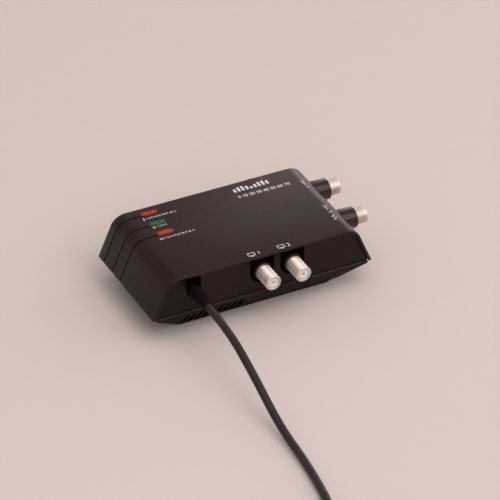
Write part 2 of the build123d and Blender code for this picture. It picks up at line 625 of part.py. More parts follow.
def supply_parts():
    """Fuse, rectifier, capacitors and regulator on the board, and the surge arresters."""
    z = BOARD_TOP + FUSE_RAISE
    start = FUSE_Y - FUSE_LENGTH / 2
    pieces["mains_fuse"] = rod(FUSE_RADIUS, (FUSE_X, start, z), (0, 1, 0), FUSE_LENGTH)
    clips = []
    for y in (start + 0.5, start + FUSE_LENGTH - 4.5):
        clip = block(FUSE_X - 3.2, FUSE_X + 3.2, y, y + 4, BOARD_TOP, z + 1.5)
        clip -= rod(FUSE_RADIUS, (FUSE_X, y - 1, z), (0, 1, 0), 6)
        clip -= block(FUSE_X - FUSE_RADIUS, FUSE_X + FUSE_RADIUS, y - 1, y + 5, z, z + 3)
        clips.append(clip)
    pieces["fuse_clips"] = group(clips)
    cans = []
    for index in (0, 1):
        y = BACK - CAP_FROM_BACK - index * CAP_PITCH
        can = rod(CAP_RADIUS, (CAP_X, y, BOARD_TOP), (0, 0, 1), CAP_HEIGHT)
        cans.append(fillet(can.faces().sort_by(Axis.Z)[-1].edges(), CAP_ROUNDING))
    pieces["smoothing_capacitors"] = group(cans)
    lift = BOARD_TOP + DIODE_RADIUS
    diodes = []
    for index in range(DIODE_COUNT):
        x = CAP_X + DIODE_STEP + index * DIODE_PITCH
        diodes.append(rod(DIODE_RADIUS, (x, DIODE_Y - DIODE_LENGTH / 2, lift), (0, 1, 0), DIODE_LENGTH))
    pieces["rectifier_diodes"] = group(diodes)
    x, y, half = REGULATOR_X, REGULATOR_Y, REGULATOR_WIDTH / 2
    shoulder = BOARD_TOP + REGULATOR_BODY
    head = BOARD_TOP + REGULATOR_HEIGHT
    regulator = block(x - half, x + half, y - REGULATOR_DEPTH, y, BOARD_TOP, shoulder)
    regulator += block(x - half, x + half, y - REGULATOR_TAB, y, shoulder, head)
    regulator -= rod(REGULATOR_HOLE, (x, y - REGULATOR_DEPTH, (shoulder + head) / 2), (0, 1, 0), REGULATOR_DEPTH)
    pieces["regulator"] = regulator
    half = SINK_WIDTH / 2
    inner = half - SINK_WALL
    sink = block(x - half, x + half, y, y + SINK_DEPTH, BOARD_TOP, head)
    sink -= block(x - inner, x + inner, y + SINK_WALL, y + SINK_DEPTH + 1, BOARD_TOP - 1, head + 1)
    pieces["regulator_heatsink"] = sink
    tubes = []
    for y in INLET_Y:
        start = (ARRESTER_X, y - ARRESTER_LENGTH / 2, BOARD_TOP + ARRESTER_RADIUS)
        tubes.append(rod(ARRESTER_RADIUS, start, (0, 1, 0), ARRESTER_LENGTH))
    pieces["surge_arresters"] = group(tubes)


def fasteners():
    """Cover screws in their wells and board screws in the standoffs."""
    cover_screws = []
    for x, y in COVER_SCREWS:
        shank = rod(SCREW_RADIUS, (x, y, WELL_TOP), (0, 0, 1), COLUMN_TOP + SCREW_GRIP - WELL_TOP)
        head = rod(HEAD_RADIUS, (x, y, WELL_TOP - HEAD_HEIGHT), (0, 0, 1), HEAD_HEIGHT)
        head -= rod(1.2, (x, y, WELL_TOP - HEAD_HEIGHT), (0, 0, 1), 1.2)
        cover_screws.append(shank + head)
    board_screws = []
    for x, y in BOARD_SCREWS:
        foot = BOARD_TOP - BOARD_SCREW_LENGTH
        shank = rod(BOARD_SCREW_RADIUS, (x, y, foot), (0, 0, 1), BOARD_SCREW_LENGTH)
        head = rod(BOARD_HEAD_RADIUS, (x, y, BOARD_TOP), (0, 0, 1), BOARD_HEAD_HEIGHT)
        head -= rod(0.9, (x, y, BOARD_TOP + BOARD_HEAD_HEIGHT - 0.8), (0, 0, 1), 0.8)
        board_screws.append(shank + head)
    pieces["cover_screws"] = group(cover_screws)
    pieces["board_screws"] = group(board_screws)


def bend_radii(points):
    """The largest bend at each corner: 0.45 of the shorter run over the tangent of half the turn."""
    radii = []
    for before, here, after in zip(points, points[1:], points[2:]):
        run_in = Vector(*here) - Vector(*before)
        run_out = Vector(*after) - Vector(*here)
        half_turn = math.radians(run_in.get_angle(run_out)) / 2
        radii.append(0.45 * min(run_in.length, run_out.length) / math.tan(half_turn))
    return radii


def cord_tube(points, radius):
    """A round cord on straight runs joined by tangent arcs, with its length."""
    path = FilletPolyline(*points, radius=bend_radii(points))
    section = Plane(origin=points[0], z_dir=unit(path % 0)) * Circle(radius)
    return sweep(section, path=path), path.length


def coil_path():
    """The coil's centre line: half turns spiralling in below, one climbing, then out again above."""
    centre_y = COIL_CENTRE[1]
    x = COIL_CENTRE[0] + COIL_RADIUS
    side = 1
    step = COIL_PITCH / 2
    straight = 2 * CORD_RADIUS
    edges = [Line((x, centre_y + straight, COIL_LOW), (x, centre_y, COIL_LOW))]
    inward = [COIL_RADIUS - index * step for index in range(COIL_HALF_TURNS)]
    climb = COIL_RADIUS - COIL_HALF_TURNS * step
    outward = [climb + (index + 1) * step for index in range(COIL_HALF_TURNS - 1)]
    for radius in inward:
        edges.append(half_turn(x, centre_y, COIL_LOW, side, radius))
        x -= 2 * side * radius
        side = -side
    rise = (COIL_HIGH - COIL_LOW) / 2
    reach = math.hypot(climb, rise)
    top = (x - side * climb, centre_y - side * reach, COIL_LOW + rise)
    end = (x - 2 * side * climb, centre_y, COIL_HIGH)
    edges.append(TangentArc((x, centre_y, COIL_LOW), top, tangent=(0, -side, 0)))
    edges.append(TangentArc(top, end, tangent=unit((-side * climb, 0, rise))))
    x = end[0]
    side = -side
    for radius in outward:
        edges.append(half_turn(x, centre_y, COIL_HIGH, side, radius))
        x -= 2 * side * radius
        side = -side
    finish = (x, centre_y - side * straight, COIL_HIGH)
    edges.append(Line((x, centre_y, COIL_HIGH), finish))
    return Wire([edge for part in edges for edge in part.edges()]), finish


def half_turn(x, y, z, side, radius):
    """A level half circle from (x, y) to the far side of its centre."""
    middle = (x - side * radius, y - side * radius, z)
    return ThreePointArc((x, y, z), middle, (x - 2 * side * radius, y, z))


def least_gap(path, diameter):
    """The least gap of a wound cord to itself, on points a millimetre apart."""
    count = int(path.length)
    points = [path.position_at(index / count) for index in range(count + 1)]
    skip = int(3 * diameter)
    least = path.length
    for index, here in enumerate(points):
        for there in points[index + skip:]:
            least = min(least, abs(here - there))
    return least - diameter


def mains_cord():
    """Strain relief, inner cord end, free cord, coil, tail, tie and plug."""
    relief_profile = [(CORD_RADIUS + FIT / 3, CORD_POCKET_FLOOR + POCKET_BACK + RELIEF_FLANGE_DEPTH)]
    relief_profile.append((RELIEF_FLANGE_RADIUS, relief_profile[0][1]))
    relief_profile.append((RELIEF_FLANGE_RADIUS, CORD_POCKET_FLOOR + POCKET_BACK))
    relief_profile.append((RELIEF_TIP_RADIUS, CORD_POCKET_FLOOR + POCKET_BACK))
    relief_profile.append((RELIEF_TIP_RADIUS, CORD_POCKET_FLOOR))
    relief_profile.append((RELIEF_ROOT_RADIUS - RELIEF_RIB_DEPTH / 2, CORD_POCKET_FLOOR))
    pitch = RELIEF_REACH / RELIEF_RIBS
    for index in range(RELIEF_RIBS):
        share = index / (RELIEF_RIBS - 1)
        radius = RELIEF_ROOT_RADIUS + (RELIEF_TIP_RADIUS - RELIEF_ROOT_RADIUS) * share
        start = FRONT - index * pitch
        groove = radius - RELIEF_RIB_DEPTH
        if index == 0:
            relief_profile.append((relief_profile[-1][0], start))
        relief_profile.append((radius, start))
        relief_profile.append((radius, start - 0.6 * pitch))
        if index < RELIEF_RIBS - 1:
            relief_profile.append((groove, start - 0.6 * pitch))
            relief_profile.append((groove, start - pitch))
        else:
            relief_profile.append((radius - RELIEF_RIB_DEPTH / 3, RELIEF_END))
    relief_profile.append((CORD_RADIUS + FIT / 3, RELIEF_END))
    relief = revolve(make_face(Polyline(*relief_profile, close=True)), Axis.Y)
    pieces["strain_relief"] = Pos(CORD_X, 0, AXIS_Z) * relief
    inner_start = FRONT + INNER_CORD_END
    pieces["inner_cord_end"] = rod(CORD_RADIUS, (CORD_X, RELIEF_END, AXIS_Z), (0, 1, 0), inner_start - RELIEF_END)
    tie_y = relief_profile[0][1] + 0.5
    pieces["inner_cord_tie"] = ring(CORD_RADIUS + 1.1, CORD_RADIUS, (CORD_X, tie_y, AXIS_Z), (0, 1, 0), 3)
    leads = []
    left = -RIGHT + BOARD_LEFT
    for index in (0, 1):
        x = CORD_X + (index - 0.5) * LEAD_SPACING
        landing = left + LEAD_RADIUS + 0.3 + index * LEAD_SPACING
        lead_y = BOARD_NOTCH_Y + 1.2
        route = [(x, inner_start, AXIS_Z), (x, lead_y - 8, AXIS_Z), (landing, lead_y, AXIS_Z - 2), (landing, lead_y, BOARD_TOP)]
        path = FilletPolyline(*route, radius=1.6)
        leads.append(sweep(Plane(origin=route[0], z_dir=(0, 1, 0)) * Circle(LEAD_RADIUS), path=path))
    pieces["mains_leads"] = group(leads)
    wires = []
    bobbin_back = CORE_Y + CORE_STACK / 2 + CORE_MODULE - FIT
    landing = BOARD_NOTCH_Y + WIRE_LANDING
    z = BOARD_TOP + WIRE_RISE
    for index in range(WIRE_COUNT):
        x = CORE_X + WIRE_STEP + index * WIRE_PITCH
        route = [(x, bobbin_back, z), (x, landing, z), (x, landing, BOARD_TOP)]
        path = FilletPolyline(*route, radius=2 * WIRE_RADIUS)
        wires.append(sweep(Plane(origin=route[0], z_dir=(0, 1, 0)) * Circle(WIRE_RADIUS), path=path))
    pieces["transformer_leads"] = group(wires)

    cord, cord_length = cord_tube(CORD_ROUTE, CORD_RADIUS)
    pieces["cord"] = cord
    path, finish = coil_path()
    section = Plane(origin=path.position_at(0), z_dir=(0, -1, 0)) * Circle(CORD_RADIUS)
    coil = sweep(section, path=path)
    pieces["cord_coil"] = coil
    plug_axis = PLUG_HEIGHT / 2
    tail_route = [
        finish,
        (finish[0], finish[1] - 4.4, COIL_HIGH),
        (finish[0] + PLUG_STEP, finish[1] - 14, plug_axis),
        (finish[0] + PLUG_STEP, finish[1] - 19, plug_axis),
    ]
    tail, tail_length = cord_tube(tail_route, CORD_RADIUS)
    pieces["cord_tail"] = tail
    pieces["plug_body"], pieces["plug_pins"] = plug(tail_route[-1])
    pieces["cord_tie"] = coil_tie()

    area = math.pi * CORD_RADIUS ** 2
    print("cord radii", [round(value, 1) for value in bend_radii(CORD_ROUTE)])
    print("tail radii", [round(value, 1) for value in bend_radii(tail_route)])
    print("cord volume over section times length", round(cord.volume / (area * cord_length), 4))
    print("coil volume over section times length", round(coil.volume / (area * path.length), 4))
    print("tail volume over section times length", round(tail.volume / (area * tail_length), 4))
    print("coil least gap to itself", round(least_gap(path, 2 * CORD_RADIUS), 3))
    print("lengths", round(cord_length, 1), round(path.length, 1), round(tail_length, 1))
    print("whole cord", round(cord_length + path.length + tail_length, 1))


def coil_tie():
    """A flat band around all the strands at the back of the coil."""
    step = COIL_PITCH / 2
    outer = COIL_RADIUS - step
    inner = outer - (COIL_HALF_TURNS - 2) * step
    room = CORD_RADIUS + TIE_GAP
    half = TIE_WIDTH / 2
    curve = (half + step) ** 2 / (2 * inner)
    near = COIL_CENTRE[1] + inner - room - curve
    far = COIL_CENTRE[1] + outer + room
    low = COIL_LOW - room
    high = COIL_HIGH + room
    x = COIL_CENTRE[0]
    wall = TIE_WALL
    band = block(x - half, x + half, near - wall, far + wall, low - wall, high + wall)
    band = fillet(band.edges().filter_by(Axis.X), 2 * wall)
    hole = block(x - half - 1, x + half + 1, near, far, low, high)
    return band - fillet(hole.edges().filter_by(Axis.X), wall)


def plug(entry):
    """A flat two-pin mains plug on its side, its boot facing the cord and its blades to the front."""
    x, y, z = entry
    upright = (Align.CENTER, Align.CENTER, Align.MIN)
    cone = Cone(CORD_RADIUS + 1.0, PLUG_BOOT_RADIUS, PLUG_BOOT, align=upright)
    boot = Plane(origin=(x, y, z), z_dir=(0, -1, 0)) * cone
    near = y - PLUG_BOOT
    shell = block(x - PLUG_WIDTH / 2, x + PLUG_WIDTH / 2, near - PLUG_LENGTH, near + 1, 0, PLUG_HEIGHT)
    shell = fillet(shell.edges().filter_by(Axis.Y), PLUG_ROUNDING)
    shell = fillet(shell.faces().sort_by(Axis.Y)[-1].edges(), PLUG_ROUNDING / 2)
    length, width, wall = BLADE
    blades = []
    for sign in (-1, 1):
        blade = Rot(0, sign * BLADE_TILT, 0) * Box(wall, length, width)
        blades.append(Pos(x + sign * BLADE_OFFSET, near - PLUG_LENGTH - length / 2, z) * blade)
    return boot + shell, group(blades)


pieces["top_cover"] = top_cover()
pieces["base_tray"] = base_tray()
pieces["front_panel"] = front_panel()
pieces["rear_panel"] = rear_panel()
for name, y in zip(("surge", "power", "short"), LENS_Y):
    pieces[f"{name}_window"] = light_pipe(y)
    pieces[f"{name}_led"] = led(y)
pieces["main_board"] = main_board()
sockets()
pieces["screening_frame"], pieces["screening_lid"] = screening()
chips, coils, cores, capacitors = amplifier_parts()
pieces["amplifier_chips"] = chips
pieces["filter_coils"] = coils
pieces["splitter_cores"] = cores
pieces["chip_capacitors"] = capacitors
transformer()
supply_parts()
fasteners()
mains_cord()

os.makedirs("parts", exist_ok=True)
for node, shape in pieces.items():
    export_step(shape, f"parts/{node}.step")
print(len(pieces), "nodes")
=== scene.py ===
"""Studio model of a two-way television aerial amplifier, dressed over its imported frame.

Metres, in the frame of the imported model: +X runs to the aerial sockets, -Y to the outlets and
the mains cord, +Z up, with the origin at the middle of the base's underside.
"""
import json
import logging
import math
from dataclasses import dataclass
from enum import Enum

import bmesh
import bpy
import numpy as np
from mathutils import Matrix, Vector

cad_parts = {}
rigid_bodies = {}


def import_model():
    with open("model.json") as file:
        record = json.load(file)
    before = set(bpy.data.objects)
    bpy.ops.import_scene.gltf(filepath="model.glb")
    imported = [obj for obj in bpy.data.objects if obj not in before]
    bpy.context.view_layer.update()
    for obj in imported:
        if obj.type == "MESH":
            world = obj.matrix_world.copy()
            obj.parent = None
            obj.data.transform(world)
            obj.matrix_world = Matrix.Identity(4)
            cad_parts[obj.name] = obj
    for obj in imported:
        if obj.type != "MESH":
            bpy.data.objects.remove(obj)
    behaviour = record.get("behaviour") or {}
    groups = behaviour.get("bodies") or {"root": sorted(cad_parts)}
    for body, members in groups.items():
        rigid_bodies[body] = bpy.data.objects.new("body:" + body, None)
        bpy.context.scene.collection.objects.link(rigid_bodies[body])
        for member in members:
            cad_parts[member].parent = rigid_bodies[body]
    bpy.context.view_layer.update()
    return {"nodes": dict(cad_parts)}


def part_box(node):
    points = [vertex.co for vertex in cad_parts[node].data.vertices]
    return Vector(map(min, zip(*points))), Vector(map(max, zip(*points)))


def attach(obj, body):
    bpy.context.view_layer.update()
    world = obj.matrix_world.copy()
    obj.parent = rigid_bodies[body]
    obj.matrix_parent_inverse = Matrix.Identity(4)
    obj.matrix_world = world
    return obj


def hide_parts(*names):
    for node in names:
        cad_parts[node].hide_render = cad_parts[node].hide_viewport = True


LOG = logging.getLogger("amplifier")
MM = 0.001
BODY = "root"
SOCKET_HEIGHT = 29.25 * MM
EDGE, RIM_EDGE = 0.2 * MM, 0.6 * MM
SHARP, CREASE, FLAT = math.radians(28), math.radians(35), math.radians(0.6)
WELD, CAD_WELD = 1e-7, 2e-6
BROAD_DETAIL, FINE_DETAIL = 3.0, 2.0
COAT_ROUGHNESS = 0.1
COLOUR_BAND, ROUGHNESS_BAND = (0.35, 0.65), (0.3, 0.7)

Pair = tuple[float, float]
Place = tuple[float, float, float]
Colour = tuple[float, float, float]
Node = bpy.types.Node
Port = bpy.types.NodeSocket

for leftover in list(bpy.data.objects):
    bpy.data.objects.remove(leftover)
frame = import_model()


def srgb(red: float, green: float, blue: float) -> Colour:
    """A display colour from 0 to 255 as linear light.

    Args:
        red, green, blue: the colour's display values.

    Returns:
        The linear colour.
    """
    shares = [value / 255 for value in (red, green, blue)]
    return tuple(s / 12.92 if s <= 0.04045 else ((s + 0.055) / 1.055) ** 2.4 for s in shares)


def assign(item: object, **settings: object) -> None:
    """Sets several properties of one of Blender's things."""
    for key, value in settings.items():
        setattr(item, key, value)


class Nodes:
    """The nodes of a material or world, with short ways to add, link and set them."""

    def __init__(self, owner: bpy.types.Material | bpy.types.World) -> None:
        """Turns the owner's nodes on."""
        owner.use_nodes = True
        self.tree = owner.node_tree

    def own(self, kind: str) -> Node:
        """The node of a type that was there from the start."""
        return next(node for node in self.tree.nodes if node.type == kind)

    def feed(self, node: Node, inputs: dict) -> None:
        """Links or sets a node's inputs.

        Args:
            node: the node.
            inputs: each input's name or number, with the output to link or the value to set.
        """
        for key, value in inputs.items():
            port = node.inputs[key]
            if isinstance(value, Port):
                self.tree.links.new(value, port)
            else:
                port.default_value = (*value, 1.0) if port.type == "RGBA" else value

    def add(self, kind: str, inputs: dict | None = None, **settings: str) -> Node:
        """Adds a shader node.

        Args:
            kind: its type's name, less the leading ShaderNode.
            inputs: what its inputs are linked or set to.
            settings: its own properties.

        Returns:
            The node.
        """
        node = self.tree.nodes.new(f"ShaderNode{kind}")
        assign(node, **settings)
        self.feed(node, inputs or {})
        return node

    def mapped(self, value: Port, before: Pair, after: Pair = (0.0, 1.0)) -> Port:
        """A value carried from one range to another and held at its ends."""
        limits = dict(zip(("From Min", "From Max", "To Min", "To Max"), before + after))
        return self.add("MapRange", {"Value": value, **limits}).outputs["Result"]

    def mixed(self, share: Port, first: Port | Colour, second: Port | Colour) -> Port:
        """Two colours mixed by a share, from the first at nought to the second at one."""
        return self.add("MixRGB", {"Fac": share, "Color1": first, "Color2": second}).outputs["Color"]


class Surface(Nodes):
    """A new material's nodes, with its principled shader and the coordinates that its patterns read."""

    def __init__(self, name: str) -> None:
        """Makes the material.

        Args:
            name: its name.
        """
        self.material = bpy.data.materials.new(name)
        super().__init__(self.material)
        self.shader = self.own("BSDF_PRINCIPLED")
        self.place = self.add("TexCoord").outputs["Object"]

    def shade(self, **inputs: float | Colour | Port) -> None:
        """Links or sets the shader's inputs, whose names are written with _ for each space."""
        self.feed(self.shader, {key.replace("_", " "): value for key, value in inputs.items()})

    def lumps(self, size: float, detail: float, place: Port | None = None) -> Port:
        """The value of a noise with lumps of a size and octaves of finer detail."""
        inputs = {"Scale": 1 / size, "Detail": detail, "Vector": place or self.place}
        return self.add("TexNoise", inputs).outputs["Fac"]


class Grain(Enum):
    """How a finish's fine relief runs: its pattern's stretch in x, y and z."""

    SPARK = (1.0, 1.0, 1.0)
    TURNED_Y = (0.05, 1.0, 0.05)
    TURNED_X = (1.0, 0.05, 0.05)
    DRAWN = (0.04, 1.0, 1.0)


@dataclass(frozen=True)
class Finish:
    """A surface finish: two close colours, a roughness range and a fine relief.

    The relief is its lumps' size and depth, and patch the size of the patches of colour, in
    millimetres. The pattern reads Object coordinates, so it stays with the piece. Sheen tints what
    the surface mirrors. Slot, the record's material slot for a new piece of this finish, is not used.
    """

    name: str
    colour: Colour
    second: Colour
    roughness: Pair
    relief: Pair
    patch: float = 20.0
    grain: Grain = Grain.SPARK
    metallic: float = 0.0
    specular: float = 0.5
    sheen: Colour = (1.0, 1.0, 1.0)
    coat: float = 0.0
    transmission: float = 0.0
    glow: float = 0.0
    slot: str = "housing_black"

    def material(self) -> bpy.types.Material:
        """Builds the node material.

        Returns:
            The material, new or already made under this name.
        """
        known = bpy.data.materials.get(self.name)
        if known is not None:
            return known
        surface = Surface(self.name)
        surface.shade(
            Metallic=self.metallic, Specular_IOR_Level=self.specular, Specular_Tint=self.sheen,
            Coat_Weight=self.coat, Coat_Roughness=COAT_ROUGHNESS,
            Transmission_Weight=self.transmission, Emission_Strength=self.glow,
        )
        self.link_colour(surface)
        self.link_relief(surface)
        return surface.material

    def link_colour(self, surface: Surface) -> None:
        """Mixes the two colours and the two roughnesses over broad patches.

        Args:
            surface: the material's nodes.
        """
        patch = self.patch * MM
        ramp = surface.add("ValToRGB", {"Fac": surface.lumps(patch, BROAD_DETAIL)})
        stops = zip(ramp.color_ramp.elements, COLOUR_BAND, (self.colour, self.second))
        for stop, position, colour in stops:
            stop.position, stop.color = position, (*colour, 1.0)
        smudges = surface.lumps(patch / 3, FINE_DETAIL)
        roughness = surface.mapped(smudges, ROUGHNESS_BAND, self.roughness)
        surface.shade(Base_Color=ramp.outputs["Color"], Roughness=roughness)

    def link_relief(self, surface: Surface) -> None:
        """Adds the fine relief: sparked tool marks, turned rings or drawn lines.

        Args:
            surface: the material's nodes.
        """
        size, depth = self.relief
        mapping = surface.add("Mapping", {"Scale": self.grain.value, "Vector": surface.place})
        fine = surface.lumps(size * MM, FINE_DETAIL, mapping.outputs["Vector"])
        bump = surface.add("Bump", {"Strength": 1.0, "Distance": depth * MM, "Height": fine})
        surface.shade(Normal=bump.outputs["Normal"])


@dataclass(frozen=True)
class LensFinish(Finish):
    """A tinted light pipe: its middle glows, and it darkens to its rim by the attribute core, a painted
    shade for the window's light fading towards its rim.
    """

    # Painted shade: the dark colour that the window fades to at its rim.
    rim: Colour = (0.02, 0.02, 0.02)

    def link_colour(self, surface: Surface) -> None:
        """Mixes the patches' colour with the rim's painted shade by the attribute, and glows in the same
        colour.

        Args:
            surface: the material's nodes.
        """
        super().link_colour(surface)
        lit = surface.shader.inputs["Base Color"].links[0].from_socket
        core = surface.add("Attribute", attribute_name="core").outputs["Fac"]
        # Painted shade towards the rim, mixed in by the attribute.
        mix = surface.mixed(core, self.rim, lit)
        surface.shade(Base_Color=mix, Emission_Color=mix)


@dataclass(frozen=True)
class LipHighlightFinish(Finish):
    """A moulded finish with a painted highlight: paler along a level lip, between two heights in
    millimetres.
    """

    lip: Pair = (15.4, 15.7)
    # Painted highlight: this paler colour along the lip stands in for light caught by the base's top edge.
    lip_highlight: Colour = (0.042, 0.028, 0.028)

    def link_colour(self, surface: Surface) -> None:
        """Mixes the patches' colour with the painted highlight where the piece is high enough.

        Args:
            surface: the material's nodes.
        """
        super().link_colour(surface)
        moulded = surface.shader.inputs["Base Color"].links[0].from_socket
        height = surface.add("SeparateXYZ", {"Vector": surface.place}).outputs["Z"]
        # Painted highlight: the share of the lip colour rises between the two heights.
        level = surface.mapped(height, (self.lip[0] * MM, self.lip[1] * MM))
        surface.shade(Base_Color=surface.mixed(level, moulded, self.lip_highlight))


WARM = (1.0, 0.74, 0.74)
MOULDED = (0.45, 0.007)
HOUSING = Finish(
    "housing_satin", (0.0070, 0.0034, 0.0040), (0.0092, 0.0047, 0.0053), (0.24, 0.30), relief=MOULDED,
    specular=0.28, sheen=WARM)
# The base's paler lip line is a painted highlight.
BASE_SHELL = LipHighlightFinish(
    "base_satin", (0.0084, 0.0044, 0.0044), (0.0100, 0.0054, 0.0054), (0.55, 0.63), relief=MOULDED,
    specular=0.09, sheen=WARM)
PANEL = Finish(
    "panel_satin", (0.0115, 0.0060, 0.0064), (0.0135, 0.0072, 0.0076), (0.27, 0.34), relief=MOULDED,
    specular=0.17, sheen=(1.0, 0.76, 0.76))
COLLAR = Finish(
    "collar_gloss", (0.0110, 0.0062, 0.0054), (0.0135, 0.0078, 0.0068), (0.14, 0.19), relief=(2, 0.006),
    specular=0.48, sheen=(1.0, 0.84, 0.82), slot="collar_black")
NICKEL_Y = Finish(
    "nickel_outlet", srgb(226, 218, 211), srgb(215, 206, 198), (0.27, 0.33), relief=(0.25, 0.0015),
    patch=6, grain=Grain.TURNED_Y, metallic=1.0, slot="nickel_plate")
NICKEL_X = Finish(
    "nickel_aerial", srgb(232, 224, 217), srgb(222, 213, 205), (0.36, 0.42), relief=(0.25, 0.0007),
    patch=6, grain=Grain.TURNED_X, metallic=1.0, slot="nickel_plate")
DIELECTRIC = Finish(
    "socket_dielectric", srgb(228, 220, 212), srgb(220, 211, 202), (0.4, 0.5), relief=(0.8, 0.01),
    patch=4, slot="socket_insulator")
# The windows' darker rims are painted shade.
RED_WINDOW = LensFinish(
    "window_lit_red", (0.34, 0.020, 0.008), (0.44, 0.045, 0.026), (0.34, 0.46), relief=(1.2, 0.03),
    patch=4.5, specular=0.15, rim=(0.045, 0.008, 0.005), glow=0.12, slot="window_red")
GREEN_WINDOW = LensFinish(
    "window_lit_green", (0.022, 0.085, 0.026), (0.036, 0.125, 0.040), (0.34, 0.46), relief=(1.2, 0.03),
    patch=3, specular=0.15, rim=(0.012, 0.020, 0.010), glow=0.10, slot="window_green")
INK = Finish(
    "print_white", srgb(226, 218, 214), srgb(210, 202, 198), (0.5, 0.65), relief=(0.3, 0.004), patch=2)
RED_INK = Finish(
    "print_red", srgb(176, 46, 40), srgb(160, 40, 36), (0.5, 0.65), relief=(0.3, 0.004), patch=2)
CORD_RUBBER = Finish(
    "cord_satin", (0.0150, 0.0085, 0.0090), (0.0185, 0.0115, 0.0115), (0.38, 0.48), relief=(1.2, 0.01),
    patch=30, specular=0.35, sheen=(1.0, 0.86, 0.86), slot="cord_black")
# Painted shade: this colour, darker than the cord's, stands for the shade of the pocket that the sleeve
# leaves; its matt surface is its own.
SHADED_RELIEF_RUBBER = Finish(
    "relief_matt_shaded", (0.0070, 0.0040, 0.0042), (0.0090, 0.0054, 0.0056), (0.46, 0.56), relief=(1, 0.01),
    patch=10, specular=0.06, sheen=(1.0, 0.84, 0.84), slot="cord_black")
TIE = Finish(
    "tie_nylon", (0.014, 0.014, 0.014), (0.022, 0.021, 0.021), (0.35, 0.45), relief=(0.6, 0.01),
    patch=10, grain=Grain.DRAWN, slot="tie_nylon")

CARRIED = {
    "outlet_1_contact outlet_2_contact aerial_1_contact aerial_2_contact": Finish(
        "contact_bronze", srgb(190, 150, 90), srgb(170, 132, 78), (0.25, 0.35), relief=(0.5, 0.004),
        patch=4, metallic=1.0),
    "inner_cord_end": CORD_RUBBER,
    "main_board": Finish(
        "board_resist", (0.012, 0.085, 0.035), (0.018, 0.11, 0.045), (0.25, 0.4), relief=(0.6, 0.02),
        patch=6, coat=0.3),
    "screening_frame screening_lid transformer_strap fuse_clips": Finish(
        "tinplate_rolled", srgb(190, 190, 186), srgb(170, 170, 168), (0.25, 0.4), relief=(0.6, 0.006),
        patch=10, grain=Grain.DRAWN, metallic=1.0),
    "amplifier_chips rectifier_diodes regulator": Finish(
        "chip_epoxy", (0.012, 0.012, 0.013), (0.02, 0.02, 0.021), (0.5, 0.65), relief=(0.3, 0.01),
        patch=3),
    "filter_coils primary_winding secondary_winding": Finish(
        "copper_enamelled", srgb(178, 96, 52), srgb(150, 76, 40), (0.2, 0.32), relief=(0.3, 0.05),
        patch=4, grain=Grain.TURNED_Y, metallic=1.0, coat=0.4),
    "splitter_cores": Finish(
        "ferrite_fired", (0.022, 0.022, 0.024), (0.035, 0.034, 0.036), (0.55, 0.7), relief=(0.4, 0.03),
        patch=3),
    "chip_capacitors surge_arresters": Finish(
        "ceramic_fired", srgb(206, 190, 164), srgb(190, 172, 146), (0.4, 0.55), relief=(0.5, 0.01),
        patch=3),
    "transformer_core": Finish(
        "core_laminations", srgb(96, 90, 86), srgb(70, 66, 64), (0.35, 0.55), relief=(0.5, 0.06),
        patch=8, grain=Grain.TURNED_Y, metallic=0.9),
    "transformer_bobbin": Finish(
        "bobbin_nylon", srgb(214, 208, 184), srgb(202, 196, 172), (0.4, 0.5), relief=(0.6, 0.01),
        patch=6),
    "strap_screws cover_screws board_screws": Finish(
        "screw_zinc", srgb(176, 176, 172), srgb(150, 150, 148), (0.25, 0.4), relief=(0.4, 0.008),
        patch=3, metallic=1.0),
    "mains_fuse": Finish(
        "fuse_glass", srgb(225, 232, 230), srgb(210, 220, 218), (0.05, 0.1), relief=(2, 0.004), patch=10,
        transmission=0.85),
    "smoothing_capacitors": Finish(
        "capacitor_sleeve", (0.012, 0.02, 0.055), (0.018, 0.028, 0.075), (0.2, 0.3), relief=(1, 0.008),
        patch=6, coat=0.3),
    "regulator_heatsink": Finish(
        "heatsink_extruded", srgb(176, 178, 180), srgb(158, 160, 163), (0.3, 0.42), relief=(0.5, 0.01),
        patch=10, grain=Grain.DRAWN, metallic=1.0),
    "transformer_leads mains_leads": Finish(
        "lead_insulation", srgb(96, 48, 26), srgb(84, 42, 24), (0.35, 0.45), relief=(0.8, 0.008),
        patch=6),
    "surge_led power_led short_led": Finish(
        "led_resin", srgb(222, 222, 216), srgb(208, 208, 202), (0.08, 0.14), relief=(1, 0.004), patch=3,
        transmission=0.5),
    "inner_cord_tie": TIE,
    "plug_pins": Finish(
        "pin_brass", srgb(196, 160, 98), srgb(178, 142, 84), (0.2, 0.3), relief=(0.4, 0.006), patch=8,
        grain=Grain.DRAWN, metallic=1.0),
}


def grid_faces(rows: int, columns: int) -> np.ndarray:
    """Quads of a grid whose last column joins the first.

    Vertex (r, c) has the number r times columns plus c.

    Args:
        rows: how many rows of points.
        columns: how many points in a row.

    Returns:
        An array of quads.
    """
    row, column = np.meshgrid(np.arange(rows - 1), np.arange(columns), indexing="ij")
    here, above = row * columns, (row + 1) * columns
    after = (column + 1) % columns
    return np.stack([here + column, here + after, above + after, above + column], axis=-1).reshape(-1, 4)


def unit(vectors: np.ndarray) -> np.ndarray:
    """The vectors, each made one long."""
    return vectors / np.linalg.norm(vectors, axis=-1, keepdims=True)


def eased(share: np.ndarray) -> np.ndarray:
    """A share from nought to one that starts and ends level."""
    return share * share * (3 - 2 * share)


def show(name: str, data: bpy.types.ID) -> bpy.types.Object:
    """Puts a mesh, curve, lamp or camera into the scene.

    Args:
        name: the object's name.
        data: what it shows.

    Returns:
        The new object.
    """
    item = bpy.data.objects.new(name, data)
    bpy.context.scene.collection.objects.link(item)
    return item


def add_piece(name: str, mesh: bpy.types.Mesh, finish: Finish) -> bpy.types.Object:
    """Makes a mesh a piece of the model, which rides on the body.

    Args:
        name: the piece's name.
        mesh: its mesh.
        finish: its finish.

    Returns:
        The new object.
    """
    mesh.materials.clear()
    mesh.materials.append(finish.material())
    piece = show(name, mesh)
    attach(piece, BODY)
    LOG.info("%s: %d faces", name, len(mesh.polygons))
    return piece


